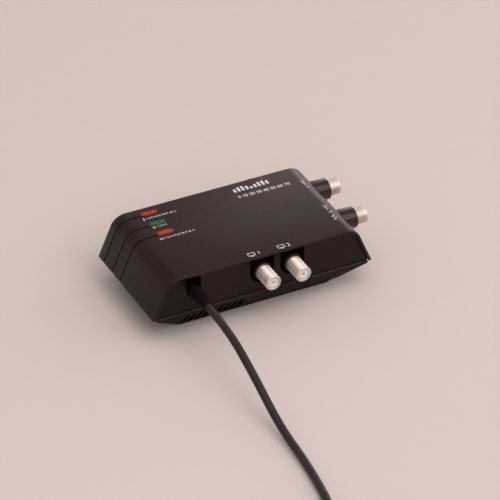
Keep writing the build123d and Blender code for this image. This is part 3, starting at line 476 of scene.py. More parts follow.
def make_piece(
    name: str, points: np.ndarray, faces: list, finish: Finish, smooth: bool = True,
) -> bpy.types.Object:
    """Makes a piece from arrays, with outward faces.

    Args:
        name: the piece's name.
        points: its points, in metres.
        faces: its faces, as lists of point numbers.
        finish: its finish.
        smooth: whether it is shaded smooth, but for its creases.

    Returns:
        The new object.
    """
    mesh = bpy.data.meshes.new(name)
    mesh.from_pydata(points.tolist(), [], faces)
    work = bmesh.new()
    work.from_mesh(mesh)
    bmesh.ops.remove_doubles(work, verts=work.verts, dist=WELD)
    bmesh.ops.recalc_face_normals(work, faces=work.faces)
    work.to_mesh(mesh)
    work.free()
    if smooth:
        mesh.shade_smooth()
        mesh.set_sharp_from_angle(angle=CREASE)
    return add_piece(name, mesh, finish)


def turned(
    outline: np.ndarray, start: Vector, axis: Vector, segments: int = 64,
) -> tuple[np.ndarray, list]:
    """A turned surface: a closed (distance, radius) outline carried round an axis.

    A point at distance d and radius r goes to start + d axis + r (cos t u + sin t v), where u and
    v are square to the axis and t runs round the circle.

    Args:
        outline: the outline's points, as distance and radius, closed or ending on the axis.
        start: where distance is nought.
        axis: the direction of distance.
        segments: steps round the circle.

    Returns:
        Points and faces.
    """
    along = np.array(axis.normalized())
    u = np.array(axis.orthogonal().normalized())
    v = np.cross(along, u)
    turn = np.linspace(0, 2 * np.pi, segments, endpoint=False)
    round_trip = np.cos(turn)[:, None] * u + np.sin(turn)[:, None] * v
    points = outline[:, 0, None, None] * along + outline[:, 1, None, None] * round_trip[None, :, :]
    return points.reshape(-1, 3) + np.array(start), grid_faces(len(outline), segments).tolist()


def rounded(corners: list[Place] | tuple, steps: int = 3) -> np.ndarray:
    """An outline through corners, each rounded by its own radius.

    A corner with radius r is replaced by a quadratic curve that starts and ends r from the corner.

    Args:
        corners: distance, radius from the axis and rounding of each corner.
        steps: points in each rounding, less one.

    Returns:
        The outline's points, as distance and radius.
    """
    spots = np.array(corners)[:, :2]
    rounds = np.array(corners)[:, 2]
    blend = np.linspace(0, 1, steps + 1)[:, None]
    parts = [spots[:1]]
    for before, here, after, size in zip(spots[:-2], spots[1:-1], spots[2:], rounds[1:-1]):
        if size == 0:
            parts.append(here[None])
            continue
        first, last = here + unit(before - here) * size, here + unit(after - here) * size
        parts.append((1 - blend) ** 2 * first + 2 * blend * (1 - blend) * here + blend ** 2 * last)
    parts.append(spots[-1:])
    return np.vstack(parts)


def weigh_rims(work: bmesh.types.BMesh, rim: float) -> None:
    """Marks the sharp edges that lie further out than rim in y, for the broader rounding.

    Args:
        work: the mesh that is being dressed.
        rim: how far from the middle in y.
    """
    weight = work.edges.layers.float.new("bevel_weight_edge")
    for edge in work.edges:
        outside = all(abs(corner.co.y) > rim for corner in edge.verts)
        sharp = len(edge.link_faces) == 2 and edge.calc_face_angle(0) > SHARP
        edge[weight] = 1.0 if outside and sharp else 0.0


def dressed_copy(node: str, finish: Finish, edge: float, rim: float = 0.0) -> bpy.types.Object:
    """A copy of a frame piece with its triangles joined and its edges rounded, in the piece's place.

    Args:
        node: the frame piece that it stands for.
        finish: its finish.
        edge: the rounding's width.
        rim: edges further out than this in y get a broader rounding first, if it isn't nought.

    Returns:
        The new object.
    """
    source = frame["nodes"][node].data
    points = np.zeros(len(source.vertices) * 3)
    source.vertices.foreach_get("co", points)
    faces = [list(polygon.vertices) for polygon in source.polygons]
    mesh = bpy.data.meshes.new(f"{node}_dressed")
    mesh.from_pydata(points.reshape(-1, 3).tolist(), [], faces)
    work = bmesh.new()
    work.from_mesh(mesh)
    bmesh.ops.remove_doubles(work, verts=work.verts, dist=CAD_WELD)
    bmesh.ops.dissolve_limit(work, angle_limit=FLAT, verts=work.verts, edges=work.edges)
    bmesh.ops.recalc_face_normals(work, faces=work.faces)
    if rim:
        weigh_rims(work, rim)
    work.to_mesh(mesh)
    work.free()
    mesh.shade_smooth()
    piece = add_piece(mesh.name, mesh, finish)
    if rim:
        broad = piece.modifiers.new("rim_rounding", "BEVEL")
        assign(broad, width=RIM_EDGE, segments=4, limit_method="WEIGHT", use_clamp_overlap=False)
        broad.miter_outer = "MITER_ARC"
    bevel = piece.modifiers.new("edge_rounding", "BEVEL")
    assign(bevel, width=edge, segments=3, limit_method="ANGLE", angle_limit=SHARP, harden_normals=True)
    bevel.miter_outer = "MITER_ARC"
    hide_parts(node)
    return piece


@dataclass(frozen=True)
class Lamp:
    """A square soft lamp turned to the object, by its middle, side and power, in metres and watts."""

    name: str
    place: Place
    size: float
    power: float
    tint: Colour = (1.0, 1.0, 1.0)
    mirrored_only: bool = False

    def build(self) -> None:
        """Makes the lamp. Only glossy surfaces take a mirrored_only one's light, as from a card."""
        data = bpy.data.lights.new(self.name, "AREA")
        assign(data, shape="SQUARE", size=self.size, energy=self.power, color=self.tint)
        lamp = show(self.name, data)
        lamp.location = self.place
        lamp.rotation_euler = (-Vector(self.place)).to_track_quat("-Z", "Y").to_euler()
        lamp.visible_camera = False
        lamp.visible_diffuse = not self.mirrored_only


LAMPS = (
    Lamp("edge_lamp", place=(1.05, -1.6, 2.05), size=2.4, power=28.0),
    Lamp("overhead_lamp", place=(-0.10, -0.45, 2.4), size=2.2, power=15.0),
    Lamp("front_lamp", place=(-0.75, -2.8, 1.5), size=2.2, power=10.0),
    Lamp("right_lamp", place=(2.3, -0.2, 0.9), size=1.4, power=8.0),
    Lamp("near_card", place=(0.27, 0.34, 0.31), size=0.2, power=0.07, mirrored_only=True),
    Lamp("rim_card", place=(0.98, 1.09, 0.32), size=0.7, power=2.1, tint=(1.0, 0.86, 0.82),
         mirrored_only=True),
)


@dataclass
class Studio:
    """The camera at the photographed angle, the pale floor and the soft lamps, in metres.

    The floor turns from lit paper into the plain studio colour between the two distances of fade.
    """

    azimuth: float = math.radians(-27.085)
    elevation: float = math.radians(34.533)
    roll: float = math.radians(0.431)
    place: Place = (-0.803288, -1.589528, 1.246970)
    lens: float = 273.48
    sensor: float = 36.0
    clip: Pair = (0.05, 50.0)
    floor_colour: Colour = srgb(214, 199, 192)
    floor_size: float = 12.0
    floor_drop: float = 0.02 * MM
    floor_roughness: float = 0.9
    fibre_size: float = 1 / 90
    fibre_shades: Pair = (0.985, 1.01)
    fade: Pair = (0.45, 1.4)
    surround: Colour = (0.54, 0.525, 0.515)
    mirrored: Colour = (0.66, 0.50, 0.49)

    def build(self) -> None:
        """Makes the camera, the floor, the world and the lamps."""
        self.make_camera()
        self.make_floor()
        self.make_world()
        for lamp in LAMPS:
            lamp.build()

    def make_camera(self) -> None:
        """Sets the camera from its place and its three angles."""
        back = Vector((
            math.sin(self.azimuth) * math.cos(self.elevation),
            -math.cos(self.azimuth) * math.cos(self.elevation),
            math.sin(self.elevation),
        ))
        level = Vector((math.cos(self.azimuth), math.sin(self.azimuth), 0))
        steep = back.cross(level)
        right = level * math.cos(self.roll) + steep * math.sin(self.roll)
        up = steep * math.cos(self.roll) - level * math.sin(self.roll)
        data = bpy.data.cameras.new("camera")
        data.lens = self.lens
        data.sensor_width = self.sensor
        data.clip_start, data.clip_end = self.clip
        camera = show("camera", data)
        turn = Matrix((right, up, back)).transposed().to_4x4()
        camera.matrix_world = Matrix.Translation(self.place) @ turn
        bpy.context.scene.camera = camera
        bpy.context.scene.view_settings.view_transform = "Standard"

    def make_floor(self) -> None:
        """Makes a broad flat sheet of paper just under the base."""
        half, low = self.floor_size / 2, -self.floor_drop
        points = [(-half, -half, low), (half, -half, low), (half, half, low), (-half, half, low)]
        mesh = bpy.data.meshes.new("studio_floor")
        mesh.from_pydata(points, [], [(0, 1, 2, 3)])
        paper = Surface("studio_paper")
        ramp = paper.add("ValToRGB", {"Fac": paper.lumps(self.fibre_size, FINE_DETAIL)})
        for stop, factor in zip(ramp.color_ramp.elements, self.fibre_shades):
            stop.color = [channel * factor for channel in self.floor_colour] + [1.0]
        paper.shade(Base_Color=ramp.outputs["Color"], Roughness=self.floor_roughness, Specular_IOR_Level=0.0)
        self.fade_floor(paper)
        mesh.materials.append(paper.material)
        show(mesh.name, mesh)

    def fade_floor(self, paper: Surface) -> None:
        """Turns the floor far from the object into the plain studio colour, as the camera sees it.

        Args:
            paper: the lit floor's nodes.
        """
        away = paper.add("VectorMath", {0: paper.place}, operation="LENGTH").outputs["Value"]
        camera_ray = paper.add("LightPath").outputs["Is Camera Ray"]
        factors = {0: paper.mapped(away, self.fade), 1: camera_ray}
        seen = paper.add("Math", factors, operation="MULTIPLY").outputs["Value"]
        plain = paper.add("Emission", {"Color": self.floor_colour}).outputs["Emission"]
        mix = paper.add("MixShader", {"Fac": seen, 1: paper.shader.outputs["BSDF"], 2: plain})
        paper.feed(paper.own("OUTPUT_MATERIAL"), {"Surface": mix.outputs["Shader"]})

    def make_world(self) -> None:
        """Makes an even pale surround, warmer where mirrored and the floor's colour where seen."""
        world = bpy.data.worlds.new("studio_world")
        bpy.context.scene.world = world
        nodes = Nodes(world)
        rays = nodes.add("LightPath").outputs
        lit = nodes.mixed(rays["Is Glossy Ray"], self.surround, self.mirrored)
        seen = nodes.mixed(rays["Is Camera Ray"], lit, self.floor_colour)
        nodes.feed(nodes.own("BACKGROUND"), {"Color": seen})


@dataclass
class MainsCord:
    """The free cord with its put-away coil, tie and plug. Sizes in millimetres, but for its length."""

    radius: float = 2.3
    route: tuple = (
        (-43.3, -53.5, 29.25), (-43.3, -79.0, 29.25), (-43.0, -109.0, 18.5), (-42.6, -139.0, 4.4),
        (-43.4, -170.0, 2.4), (-47.0, -198.0, 2.4), (-52.3, -222.0, 3.3), (-52.3, -245.4, 3.3),
    )
    coil_centre: Pair = (-88.6, -250.0)
    coil_radius: float = 36.3
    coil_pitch: float = 5.1
    coil_low: float = 3.3
    half_turns: int = 8
    steps: int = 12
    tail_leads: Place = (4.4, 14.0, 19.0)
    tail_shift: float = 3.8
    plug_axis: float = 9.5
    curve_steps: int = 6
    length: float = 1.538

    def coil_points(self) -> np.ndarray:
        """Control points of the coil.

        Half turns shrink by half a pitch each, about centres that swap sides, so the turns lie a
        pitch apart. After the climbing half turn they grow again, one layer up. The points stand
        out by one over the cosine of half a step, so the curve through their middles has the
        turn's own radius.

        Returns:
            The points, from the cord's end of the coil to the plug's end.
        """
        step = self.coil_pitch / 2
        climb = self.coil_radius - self.half_turns * step
        low, high = self.coil_low, self.coil_low + self.coil_pitch
        turns = [(self.coil_radius - index * step, low, low) for index in range(self.half_turns)]
        turns.append((climb, low, high))
        turns += [(climb + index * step, high, high) for index in range(1, self.half_turns)]
        x, y = self.coil_centre[0] + self.coil_radius, self.coil_centre[1]
        side = 1
        parts = []
        share = (np.arange(self.steps) + 0.5) / self.steps
        angle = np.pi * share
        for radius, z0, z1 in turns:
            spread = radius / math.cos(math.pi / self.steps / 2)
            parts.append(np.stack([
                x - side * radius + side * spread * np.cos(angle),
                y - side * spread * np.sin(angle),
                z0 + (z1 - z0) * eased(share),
            ], axis=1))
            x -= 2 * side * radius
            side = -side
        return np.vstack(parts)

    def tail_points(self) -> list[Place]:
        """Control points of the last stretch, from the coil to the plug.

        Returns:
            The points.
        """
        x = self.coil_centre[0] + self.coil_radius
        y = self.coil_centre[1] - 2 * self.radius
        high = self.coil_low + self.coil_pitch
        first, second, last = self.tail_leads
        beside = x + self.tail_shift
        return [(x, y, high), (x, y - first, high),
                (beside, y - second, self.plug_axis), (beside, y - last, self.plug_axis)]

    def build(self) -> None:
        points = np.vstack([np.array(self.route), self.coil_points(), np.array(self.tail_points())]) * MM
        data = bpy.data.curves.new("mains_cord", "CURVE")
        data.dimensions = "3D"
        spline = data.splines.new("NURBS")
        spline.points.add(len(points) - 1)
        spline.points.foreach_set("co", np.column_stack([points, np.ones(len(points))]).ravel())
        spline.order_u = 3
        spline.use_endpoint_u = True
        spline.resolution_u = self.curve_steps
        assign(data, bevel_depth=self.radius * MM, bevel_resolution=self.curve_steps, use_fill_caps=True)
        data.materials.append(CORD_RUBBER.material())
        cord = show("mains_cord", data)
        LOG.info("%s: %d control points", cord.name, len(points))
        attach(cord, BODY)
        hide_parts("cord", "cord_coil", "cord_tail")
        plug = dressed_copy("plug_body", CORD_RUBBER, RIM_EDGE)
        tie = dressed_copy("cord_tie", TIE, EDGE)


@dataclass
class StrainRelief:
    """The sleeve that the cord leaves by: ribs that taper, and a flange inside. Sizes in millimetres.

    Each rib takes its share of the pitch, and a groove follows it. The flange has depth and radius.
    """

    x: float = -43.3
    front: float = -36.5
    pocket: float = -27.3
    back: float = -26.1
    flange: Pair = (2.0, 5.0)
    bore: float = 2.35
    neck: float = 3.05
    body: float = 3.55
    ribs: int = 6
    reach: float = 17.0
    root: float = 3.9
    tip: float = 3.05
    rib_share: float = 0.6
    groove: float = 0.7
    lip: float = 0.25

    def build(self) -> None:
        """Makes the sleeve."""
        depth, wide = self.flange
        inner = self.back + depth
        corners = [(inner, self.bore, 0), (inner, wide, 0.4), (self.back, wide, 0.4)]
        corners += [(self.back, self.neck, 0.1), (self.pocket, self.neck, 0.1)]
        corners += [(self.pocket, self.body, 0.2), (self.front, self.body, 0.2)]
        pitch = self.reach / self.ribs
        for index in range(self.ribs):
            radius = self.root + (self.tip - self.root) * index / (self.ribs - 1)
            start = self.front - index * pitch
            end = start - self.rib_share * pitch
            corners += [(start, radius, 0.3), (end, radius, 0.3)]
            if index < self.ribs - 1:
                corners += [(end, radius - self.groove, 0.2), (start - pitch, radius - self.groove, 0.2)]
            else:
                corners += [(start - pitch, radius - self.lip, 0.3)]
        corners += [(self.front - self.reach, self.bore, 0.1), (inner, self.bore, 0)]
        foot = Vector((self.x * MM, 0, SOCKET_HEIGHT))
        points, faces = turned(rounded(corners) * MM, foot, Vector((0, 1, 0)))
        # The sleeve's darker colour is painted shade.
        sleeve = make_piece("strain_relief_ribbed", points, faces, SHADED_RELIEF_RUBBER)
        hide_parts("strain_relief")


@dataclass
class Housing:
    """Cover, base and panels, with their small moulded edge roundings.

    Each shell has a node, a finish, and how far out in y its broader rim rounding starts.
    """

    shells: tuple = (
        ("top_cover", HOUSING, 36.45 * MM),
        ("base_tray", BASE_SHELL, 36.2 * MM),
        ("front_panel", PANEL, 0.0),
        ("rear_panel", PANEL, 0.0),
    )

    def build(self) -> None:
        """Makes the four shells."""
        for node, finish, rim in self.shells:
            dressed_copy(node, finish, EDGE, rim)


@dataclass
class Socket:
    """One threaded coaxial socket with its collar and insulator. Sizes in millimetres.

    Distances run along its axis from the face of its body: over the shank, then the reach of the
    barrel. The collar has a radius at each end, and the lip is how far back, out and in the points
    of the rolled tip stand. The disc, funnel and pin hole have their depth and radius.
    """

    node: str
    body_face: Vector
    axis: Vector
    shank: float
    reach: float
    collar: Pair
    finish: Finish
    barrel: float = 4.7625
    bore: float = 3.4
    thread_grid: tuple[int, int] = (190, 80)
    thread_pitch: float = 25.4 / 32
    thread_depth: float = 0.2
    run_out: float = 0.8
    chamfer: float = 0.45
    lip: Place = (0.15, 0.12, 0.1)
    shank_radius: float = 4.5
    shank_depth: float = 12.0
    collar_bore: float = 4.6
    recess: float = 0.35
    disc: Pair = (18.0, 1.12)
    disc_gap: float = 0.03
    funnel: Pair = (0.45, 1.25)
    pin_hole: Pair = (2.9, 0.62)

    def build(self) -> None:
        """Makes the socket's body, barrel, collar and insulator."""
        self.build_barrel()
        self.build_collar()
        self.build_insulator()

    def build_barrel(self) -> None:
        """The socket: body block, shank, and a barrel with a shallow rolled thread.

        The barrel is a grid of distance by turn. Its radius is the full radius less the depth
        times a cosine of distance over pitch minus turn, faded out at the run-out and the tip.
        """
        rows, columns = self.thread_grid
        start, tip = self.shank, self.shank + self.reach
        end, edge = tip - self.chamfer, self.barrel - self.chamfer
        distance = np.linspace(start, end, rows)
        turn = np.linspace(0, 2 * np.pi, columns, endpoint=False)
        d, t = np.meshgrid(distance, turn, indexing="ij")
        fade = np.clip((d - start) / self.run_out, 0, 1) * np.clip((end - d) / self.run_out, 0, 1)
        wave = 0.5 - 0.5 * np.cos(2 * np.pi * d / self.thread_pitch - t)
        radius = self.barrel - self.thread_depth * fade * wave
        along = np.array(self.axis)
        u = np.array(self.axis.orthogonal().normalized())
        v = np.cross(along, u)
        swing = np.cos(t)[..., None] * u + np.sin(t)[..., None] * v
        shell = d[..., None] * along + radius[..., None] * swing
        back, out, step = self.lip
        deep = start - self.shank_depth
        ends = np.array([
            (tip - back, edge + out), (tip, edge - step), (tip, self.bore + out), (tip - out, self.bore),
            (deep, self.bore), (deep, self.shank_radius), (start, self.shank_radius),
        ])
        rings = ends[:, 0, None, None] * along + ends[:, 1, None, None] * swing[None, 0]
        points = np.vstack([shell.reshape(-1, 3), rings.reshape(-1, 3)]) * MM + np.array(self.body_face)
        total = rows + len(ends)
        ring = np.arange(columns)
        last, after = (total - 1) * columns, (ring + 1) % columns
        seam = np.stack([last + ring, last + after, after, ring], axis=1)
        faces = grid_faces(total, columns).tolist() + seam.tolist()
        barrel = make_piece(f"{self.node}_threaded", points, faces, self.finish)
        self.keep_block(dressed_copy(f"{self.node}_socket", self.finish, EDGE))
        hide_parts(f"{self.node}_socket")

    def keep_block(self, block: bpy.types.Object) -> None:
        """Leaves only the square body of the copied socket: cuts it at the body's face and caps it.

        Args:
            block: the copied socket.
        """
        work = bmesh.new()
        work.from_mesh(block.data)
        cut = bmesh.ops.bisect_plane(
            work, geom=work.verts[:] + work.edges[:] + work.faces[:], dist=WELD,
            plane_co=self.body_face, plane_no=self.axis, clear_outer=True,
        )
        edges = [item for item in cut["geom_cut"] if isinstance(item, bmesh.types.BMEdge)]
        bmesh.ops.edgeloop_fill(work, edges=edges)
        bmesh.ops.recalc_face_normals(work, faces=work.faces)
        work.to_mesh(block.data)
        work.free()

    def build_collar(self) -> None:
        """The collar: a drafted sleeve with a rounded lip, as long as the piece that it stands for."""
        low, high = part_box(f"{self.node}_collar")
        lead = self.shank - abs((high - low).dot(self.axis)) / MM
        root, end = self.collar
        inner = self.collar_bore
        corners = [(0, inner, 0), (0, root, 0.2), (self.shank, end, 0.45), (self.shank, inner, 0.15)]
        outline = rounded(corners + corners[:1], steps=5)
        outline[:, 0] = lead + outline[:, 0] * (self.shank - lead) / self.shank
        points, faces = turned(outline * MM, self.body_face, self.axis, segments=96)
        collar = make_piece(f"{self.node}_collar_sleeve", points, faces, COLLAR)
        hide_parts(f"{self.node}_collar")

    def build_insulator(self) -> None:
        """The pale insulator: a disc with a raised ring and a funnel round its pin hole."""
        tip = self.shank + self.reach - self.recess
        (length, hollow), (mouth, wide), (depth, pin) = self.disc, self.funnel, self.pin_hole
        back, rim = tip - length, self.bore - self.disc_gap
        corners = [
            (back, hollow, 0), (back, rim, 0.1), (tip - 0.2, rim, 0.1),
            (tip - 0.2, self.bore - 0.2, 0.05), (tip, self.bore - 0.3, 0.15), (tip, wide, 0.15),
            (tip - mouth, pin, 0.1), (tip - depth, pin, 0.02), (tip - depth, hollow, 0.02),
            (back, hollow, 0),
        ]
        points, faces = turned(rounded(corners) * MM, self.body_face, self.axis)
        insulator = make_piece(f"{self.node}_dielectric", points, faces, DIELECTRIC)
        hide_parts(f"{self.node}_insulator")


@dataclass
class Window:
    """One tinted window: a crowned pill with a flange, over a round stem. Sizes in millimetres.

    The profile is how far each ring of the outline is stepped in, and its height, from the foot to
    the edge of the crown. The top then rises towards the middle by the crown times one less the
    square of the share of the way out.
    """

    name: str
    y: float
    finish: Finish
    x: float = -39.7
    length: float = 11.1
    width: float = 4.8
    profile: tuple = (
        (2.35, 37.2), (0.4, 37.2), (-0.8, 37.2), (-0.8, 38.39), (0.0, 38.39), (0.0, 40.2), (0.0, 40.35),
        (0.06, 40.5), (0.18, 40.56), (0.35, 40.525),
    )
    top: float = 40.525
    crown: float = 0.075
    crown_insets: Pair = (0.5, 2.38)
    crown_rings: int = 8
    corners: int = 64
    stem: tuple = ((26.9, 0, 0), (26.9, 2.0, 0.3), (37.3, 2.0, 0.1), (37.3, 0, 0))
    core_reach: float = 1.15

    def build(self) -> None:
        """Makes the window's pill and its stem."""
        insets = np.linspace(*self.crown_insets, self.crown_rings)
        heights = self.top + self.crown * (1 - (1 - insets / (self.width / 2)) ** 2)
        rings = [self.outline(*ring) for ring in [*self.profile, *zip(insets, heights)]]
        points = (np.vstack(rings) + np.array([self.x, self.y, 0])) * MM
        foot = np.arange(self.corners)
        ends = [foot[::-1].tolist(), (foot + (len(rings) - 1) * self.corners).tolist()]
        faces = grid_faces(len(rings), self.corners).tolist() + ends
        window = make_piece(f"{self.name}_window_pill", points, faces, self.finish)
        self.mark_core(window.data)
        start = Vector((self.x * MM, self.y * MM, 0))
        points, faces = turned(rounded(self.stem) * MM, start, Vector((0, 0, 1)), segments=40)
        make_piece(f"{self.name}_window_stem", points, faces, self.finish)
        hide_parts(f"{self.name}_window")

    def outline(self, inset: float, height: float) -> np.ndarray:
        """The pill's outline, stepped in: two half circles joined by straight sides.

        Args:
            inset: how far in from the window's edge.
            height: how high it lies.

        Returns:
            The outline's points round the window's middle.
        """
        radius = self.width / 2 - inset
        straight = (self.length - self.width) / 2
        angle = np.linspace(-np.pi / 2, np.pi / 2, self.corners // 2)
        right = np.stack([straight + radius * np.cos(angle), radius * np.sin(angle)], axis=1)
        return np.column_stack([np.vstack([right, -right]), np.full(self.corners, height)])

    def mark_core(self, mesh: bpy.types.Mesh) -> None:
        """Stores how far in each point lies, for the finish's painted rim shade: nought at the rim, one
        along the middle.

        A point's share is the core's reach less its distance from the pill's middle line over half
        the width, eased at both ends.

        Args:
            mesh: the window's mesh.
        """
        spots = np.zeros(len(mesh.vertices) * 3)
        mesh.vertices.foreach_get("co", spots)
        spots = spots.reshape(-1, 3) / MM
        past = np.maximum(np.abs(spots[:, 0] - self.x) - (self.length - self.width) / 2, 0)
        share = np.clip(self.core_reach - np.hypot(past, spots[:, 1] - self.y) / (self.width / 2), 0, 1)
        core = mesh.attributes.new("core", "FLOAT", "POINT")
        core.data.foreach_set("value", eased(share))


SCREEN = [
    ([(-2.0, -1.0), (2.0, -1.0), (2.0, 1.5), (-2.0, 1.5)], 0.42, True),
    ([(-1.1, -1.75), (1.1, -1.75)], 0.42, False),
]
MAST = [
    ([(0, -2.6), (0, 2.6)], 0.4, False),
    ([(-1.5, 2.2), (1.5, 2.2)], 0.38, False),
    ([(-1.15, 0.9), (1.15, 0.9)], 0.38, False),
    ([(-0.8, -0.4), (0.8, -0.4)], 0.38, False),
]


@dataclass
class Printing:
    """Generic printed marks on the cover: plain numbers and pictograms. Sizes in millimetres.

    A line of a mark is its path, its width and whether it is closed. SCREEN is a television with
    its foot, and MAST an aerial's mast with crossing rods, read from the end of the housing. The
    bars stand in a row, and their heights follow a swing, given by its first angle and its step.
    """

    top: float = 40.3
    flat_end: float = 51.99
    rounding: float = 10.0
    thickness: float = 0.035
    sunk: float = 0.02
    swell: float = 0.04
    sharpest: float = 0.4
    bars_at: Pair = (14.2, 27.2)
    bar_pitch: float = 2.6
    bar_width: float = 1.55
    bar_heights: Pair = (1.6, 2.9)
    bar_swing: Pair = (0.55, 0.62)
    bar_count: int = 9

    def height(self, x: np.ndarray) -> np.ndarray:
        """The cover's height at x: level, then falling along the end rounding's circle."""
        past = np.clip(np.abs(x) - self.flat_end, 0, self.rounding)
        return self.top - self.rounding + np.sqrt(self.rounding ** 2 - past ** 2)

    def stroke(self, path: np.ndarray, width: float, closed: bool) -> tuple[np.ndarray, list]:
        """A flat printed line: a thin rectangle carried along a path on the cover.

        Each path point gives four corners, half the width to either side along the path's mean
        normal, sunk a little into the cover and the print's thickness above it.

        Args:
            path: the line's points, in x and y.
            width: its width.
            closed: whether it joins its own start.

        Returns:
            Points and faces.
        """
        steps = unit(np.diff(path, axis=0, append=path[:1]))
        ahead, behind = steps, np.roll(steps, 1, axis=0)
        if not closed:
            ahead, behind = np.vstack([steps[:-1], steps[-2:-1]]), np.vstack([steps[:1], steps[:-1]])
        mean = unit(ahead + behind)
        stretch = 1 / np.maximum(np.sum(mean * ahead, axis=1, keepdims=True), self.sharpest)
        normal = np.column_stack([-mean[:, 1], mean[:, 0]]) * stretch * width / 2
        sides = [path + normal, path - normal]
        left, right = (np.column_stack([side, self.height(side[:, 0]) - self.sunk]) for side in sides)
        lift = np.array([0, 0, self.thickness + self.sunk])
        rings = np.stack([left, right, right + lift, left + lift], axis=1)
        count = len(path)
        faces = (grid_faces(count + closed, 4) % (count * 4)).tolist()
        if not closed:
            faces += [[3, 2, 1, 0], [(count - 1) * 4 + corner for corner in range(4)]]
        return rings.reshape(-1, 3) * MM, faces

    def print_lines(self, name: str, lines: list, centre: Pair = (0, 0), finish: Finish = INK) -> None:
        """Joins several strokes into one printed mark.

        Args:
            name: the mark's name.
            lines: its lines.
            centre: the place on the cover that their paths are measured from.
            finish: its ink.
        """
        points, faces = [], []
        count = 0
        for path, width, closed in lines:
            spots, quads = self.stroke(np.array(path, float) + centre, width, closed)
            points.append(spots)
            faces += [[corner + count for corner in quad] for quad in quads]
            count += len(spots)
        make_piece(name, np.vstack(points), faces, finish, smooth=False)

    def digit(self, name: str, text: str, place: Pair, size: float, turn: float = 0.0) -> None:
        """A plain number as a thin printed mesh.

        Args:
            name: the mark's name.
            text: the number.
            place: its middle on the cover.
            size: its letter size.
            turn: its turn about the upright, in degrees.
        """
        curve = bpy.data.curves.new(name, "FONT")
        assign(curve, body=text, size=size * MM, align_x="CENTER", align_y="CENTER")
        assign(curve, extrude=(self.thickness + self.sunk) / 2 * MM, offset=self.swell * MM)
        shape = show(f"{name}_curve", curve)
        bpy.context.view_layer.update()
        solid = shape.evaluated_get(bpy.context.evaluated_depsgraph_get())
        mesh = bpy.data.meshes.new_from_object(solid)
        bpy.data.objects.remove(shape)
        lift = float(self.height(np.array([place[0]]))[0]) + (self.thickness - self.sunk) / 2
        spin = Matrix.Rotation(math.radians(turn), 4, "Z")
        mesh.transform(Matrix.Translation((place[0] * MM, place[1] * MM, lift * MM)) @ spin)
        add_piece(name, mesh, INK)

    def arc(self, centre: Pair, radius: float, start: float, end: float, count: int) -> np.ndarray:
        """Points along a circle's arc, with angles in degrees."""
        angle = np.radians(np.linspace(start, end, count))
        return np.column_stack([centre[0] + radius * np.cos(angle), centre[1] + radius * np.sin(angle)])

    def build(self) -> None:
        """Prints every mark in its place."""
        self.print_lines("outlet_1_screen_print", SCREEN, (-6.2, -32.7))
        self.digit("outlet_1_number_print", "1", (-1.6, -32.8), 4.0)
        self.print_lines("outlet_2_screen_print", SCREEN, (12.3, -32.9))
        self.digit("outlet_2_number_print", "2", (16.9, -33.0), 4.0)
        self.print_lines("aerial_1_mast_print", MAST, (53.6, 19.3))
        self.digit("aerial_1_number_print", "1", (53.4, 14.2), 3.8, -90)
        self.print_lines("aerial_2_mast_print", MAST, (53.2, -9.0))
        self.digit("aerial_2_number_print", "2", (53.0, -14.2), 3.8, -90)
        along = np.linspace(0, 1, 33)
        wave = np.column_stack([53.1 + 1.2 * np.sin(along * 4 * np.pi), -17.0 - 5.6 * along])
        self.print_lines("aerial_2_wave_print", [(wave, 0.36, False)])
        self.print_main_mark()
        self.print_window_marks()

    def print_main_mark(self) -> None:
        """The generic mark: signal bars of several heights, a red arc and disc, and a row of numbers."""
        bars = []
        (x, y), (least, more), (first, step) = self.bars_at, self.bar_heights, self.bar_swing
        for index in range(self.bar_count):
            tall = least + more * abs(math.sin(first + index * step))
            across = x + index * self.bar_pitch
            bars.append(([(across, y), (across, y + tall)], self.bar_width, False))
        self.print_lines("signal_bars_print", bars)
        disc = self.arc((33.6, 33.6), 0.45, 0, 330, 12)
        swing = self.arc((27.5, 28.6), 7.6, 44, 104, 14)
        self.print_lines("signal_arc_print", [(disc, 0.9, True), (swing, 0.4, False)], finish=RED_INK)
        self.digit("scale_print", "0 10 20 30 40 50 60 70", (29.6, 22.0), 3.5)

    def print_window_marks(self) -> None:
        """A symbol and a row of numbers by each window."""
        bolt = [(-44.6, 26.8), (-45.5, 25.4), (-44.7, 25.5), (-45.3, 24.2)]
        self.print_lines("surge_symbol_print", [(bolt, 0.34, False)])
        self.digit("surge_scale_print", "1 2 3 4 5 6 7 8 9 10 11", (-34.2, 25.4), 2.05)
        ring = self.arc((-43.2, 15.8), 0.75, 120, 420, 18)
        bar = [(-43.2, 15.9), (-43.2, 16.8)]
        self.print_lines("power_symbol_print", [(ring, 0.28, False), (bar, 0.28, False)])
        self.digit("power_scale_print", "1 2 3 4", (-38.3, 15.8), 2.05)
        case = [(-45.2, 3.0), (-43.2, 3.0), (-43.2, 4.1), (-45.2, 4.1)]
        wire = [(-45.8, 3.55), (-42.6, 3.55)]
        self.print_lines("short_symbol_print", [(case, 0.26, True), (wire, 0.22, False)])
        self.digit("short_scale_print", "1 2 3 4 5 6 7 8 9 10 11", (-33.0, 3.5), 2.05)


def build_sockets() -> None:
    """Makes the two outlets at the front and the two aerial sockets at the right end."""
    for number, x in ((1, -0.5), (2, 18.5)):
        face = Vector((x * MM, -23.3 * MM, SOCKET_HEIGHT))
        Socket(f"outlet_{number}", face, Vector((0, -1, 0)), shank=13.2, reach=12.7,
               collar=(5.5, 5.5), finish=NICKEL_Y).build()
    for number, y in ((1, 22.4), (2, -10.4)):
        face = Vector((57.3 * MM, y * MM, SOCKET_HEIGHT))
        Socket(f"aerial_{number}", face, Vector((1, 0, 0)), shank=13.4, reach=7.1,
               collar=(6.835, 6.25), finish=NICKEL_X).build()


def dress_carried_pieces() -> None:
    """Gives every piece that is carried over from the frame its finish."""
    for nodes, finish in CARRIED.items():
        for node in nodes.split():
            data = frame["nodes"][node].data
            data.materials.clear()
            data.materials.append(finish.material())
            LOG.info("%s: %s", node, finish.name)


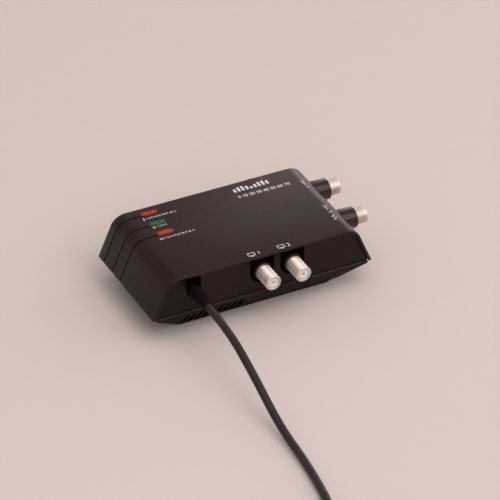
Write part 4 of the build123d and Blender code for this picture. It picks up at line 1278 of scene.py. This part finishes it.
def main() -> None:
    """Builds the studio and every sub-assembly in order."""
    Studio().build()
    MainsCord().build()
    StrainRelief().build()
    Housing().build()
    build_sockets()
    windows = (("surge", 30.2, RED_WINDOW), ("power", 19.0, GREEN_WINDOW), ("short", 8.75, RED_WINDOW))
    for name, y, finish in windows:
        Window(name, y, finish).build()
    Printing().build()
    dress_carried_pieces()


if __name__ == "__main__":
    logging.basicConfig(level=logging.INFO, format="%(message)s")
    main()
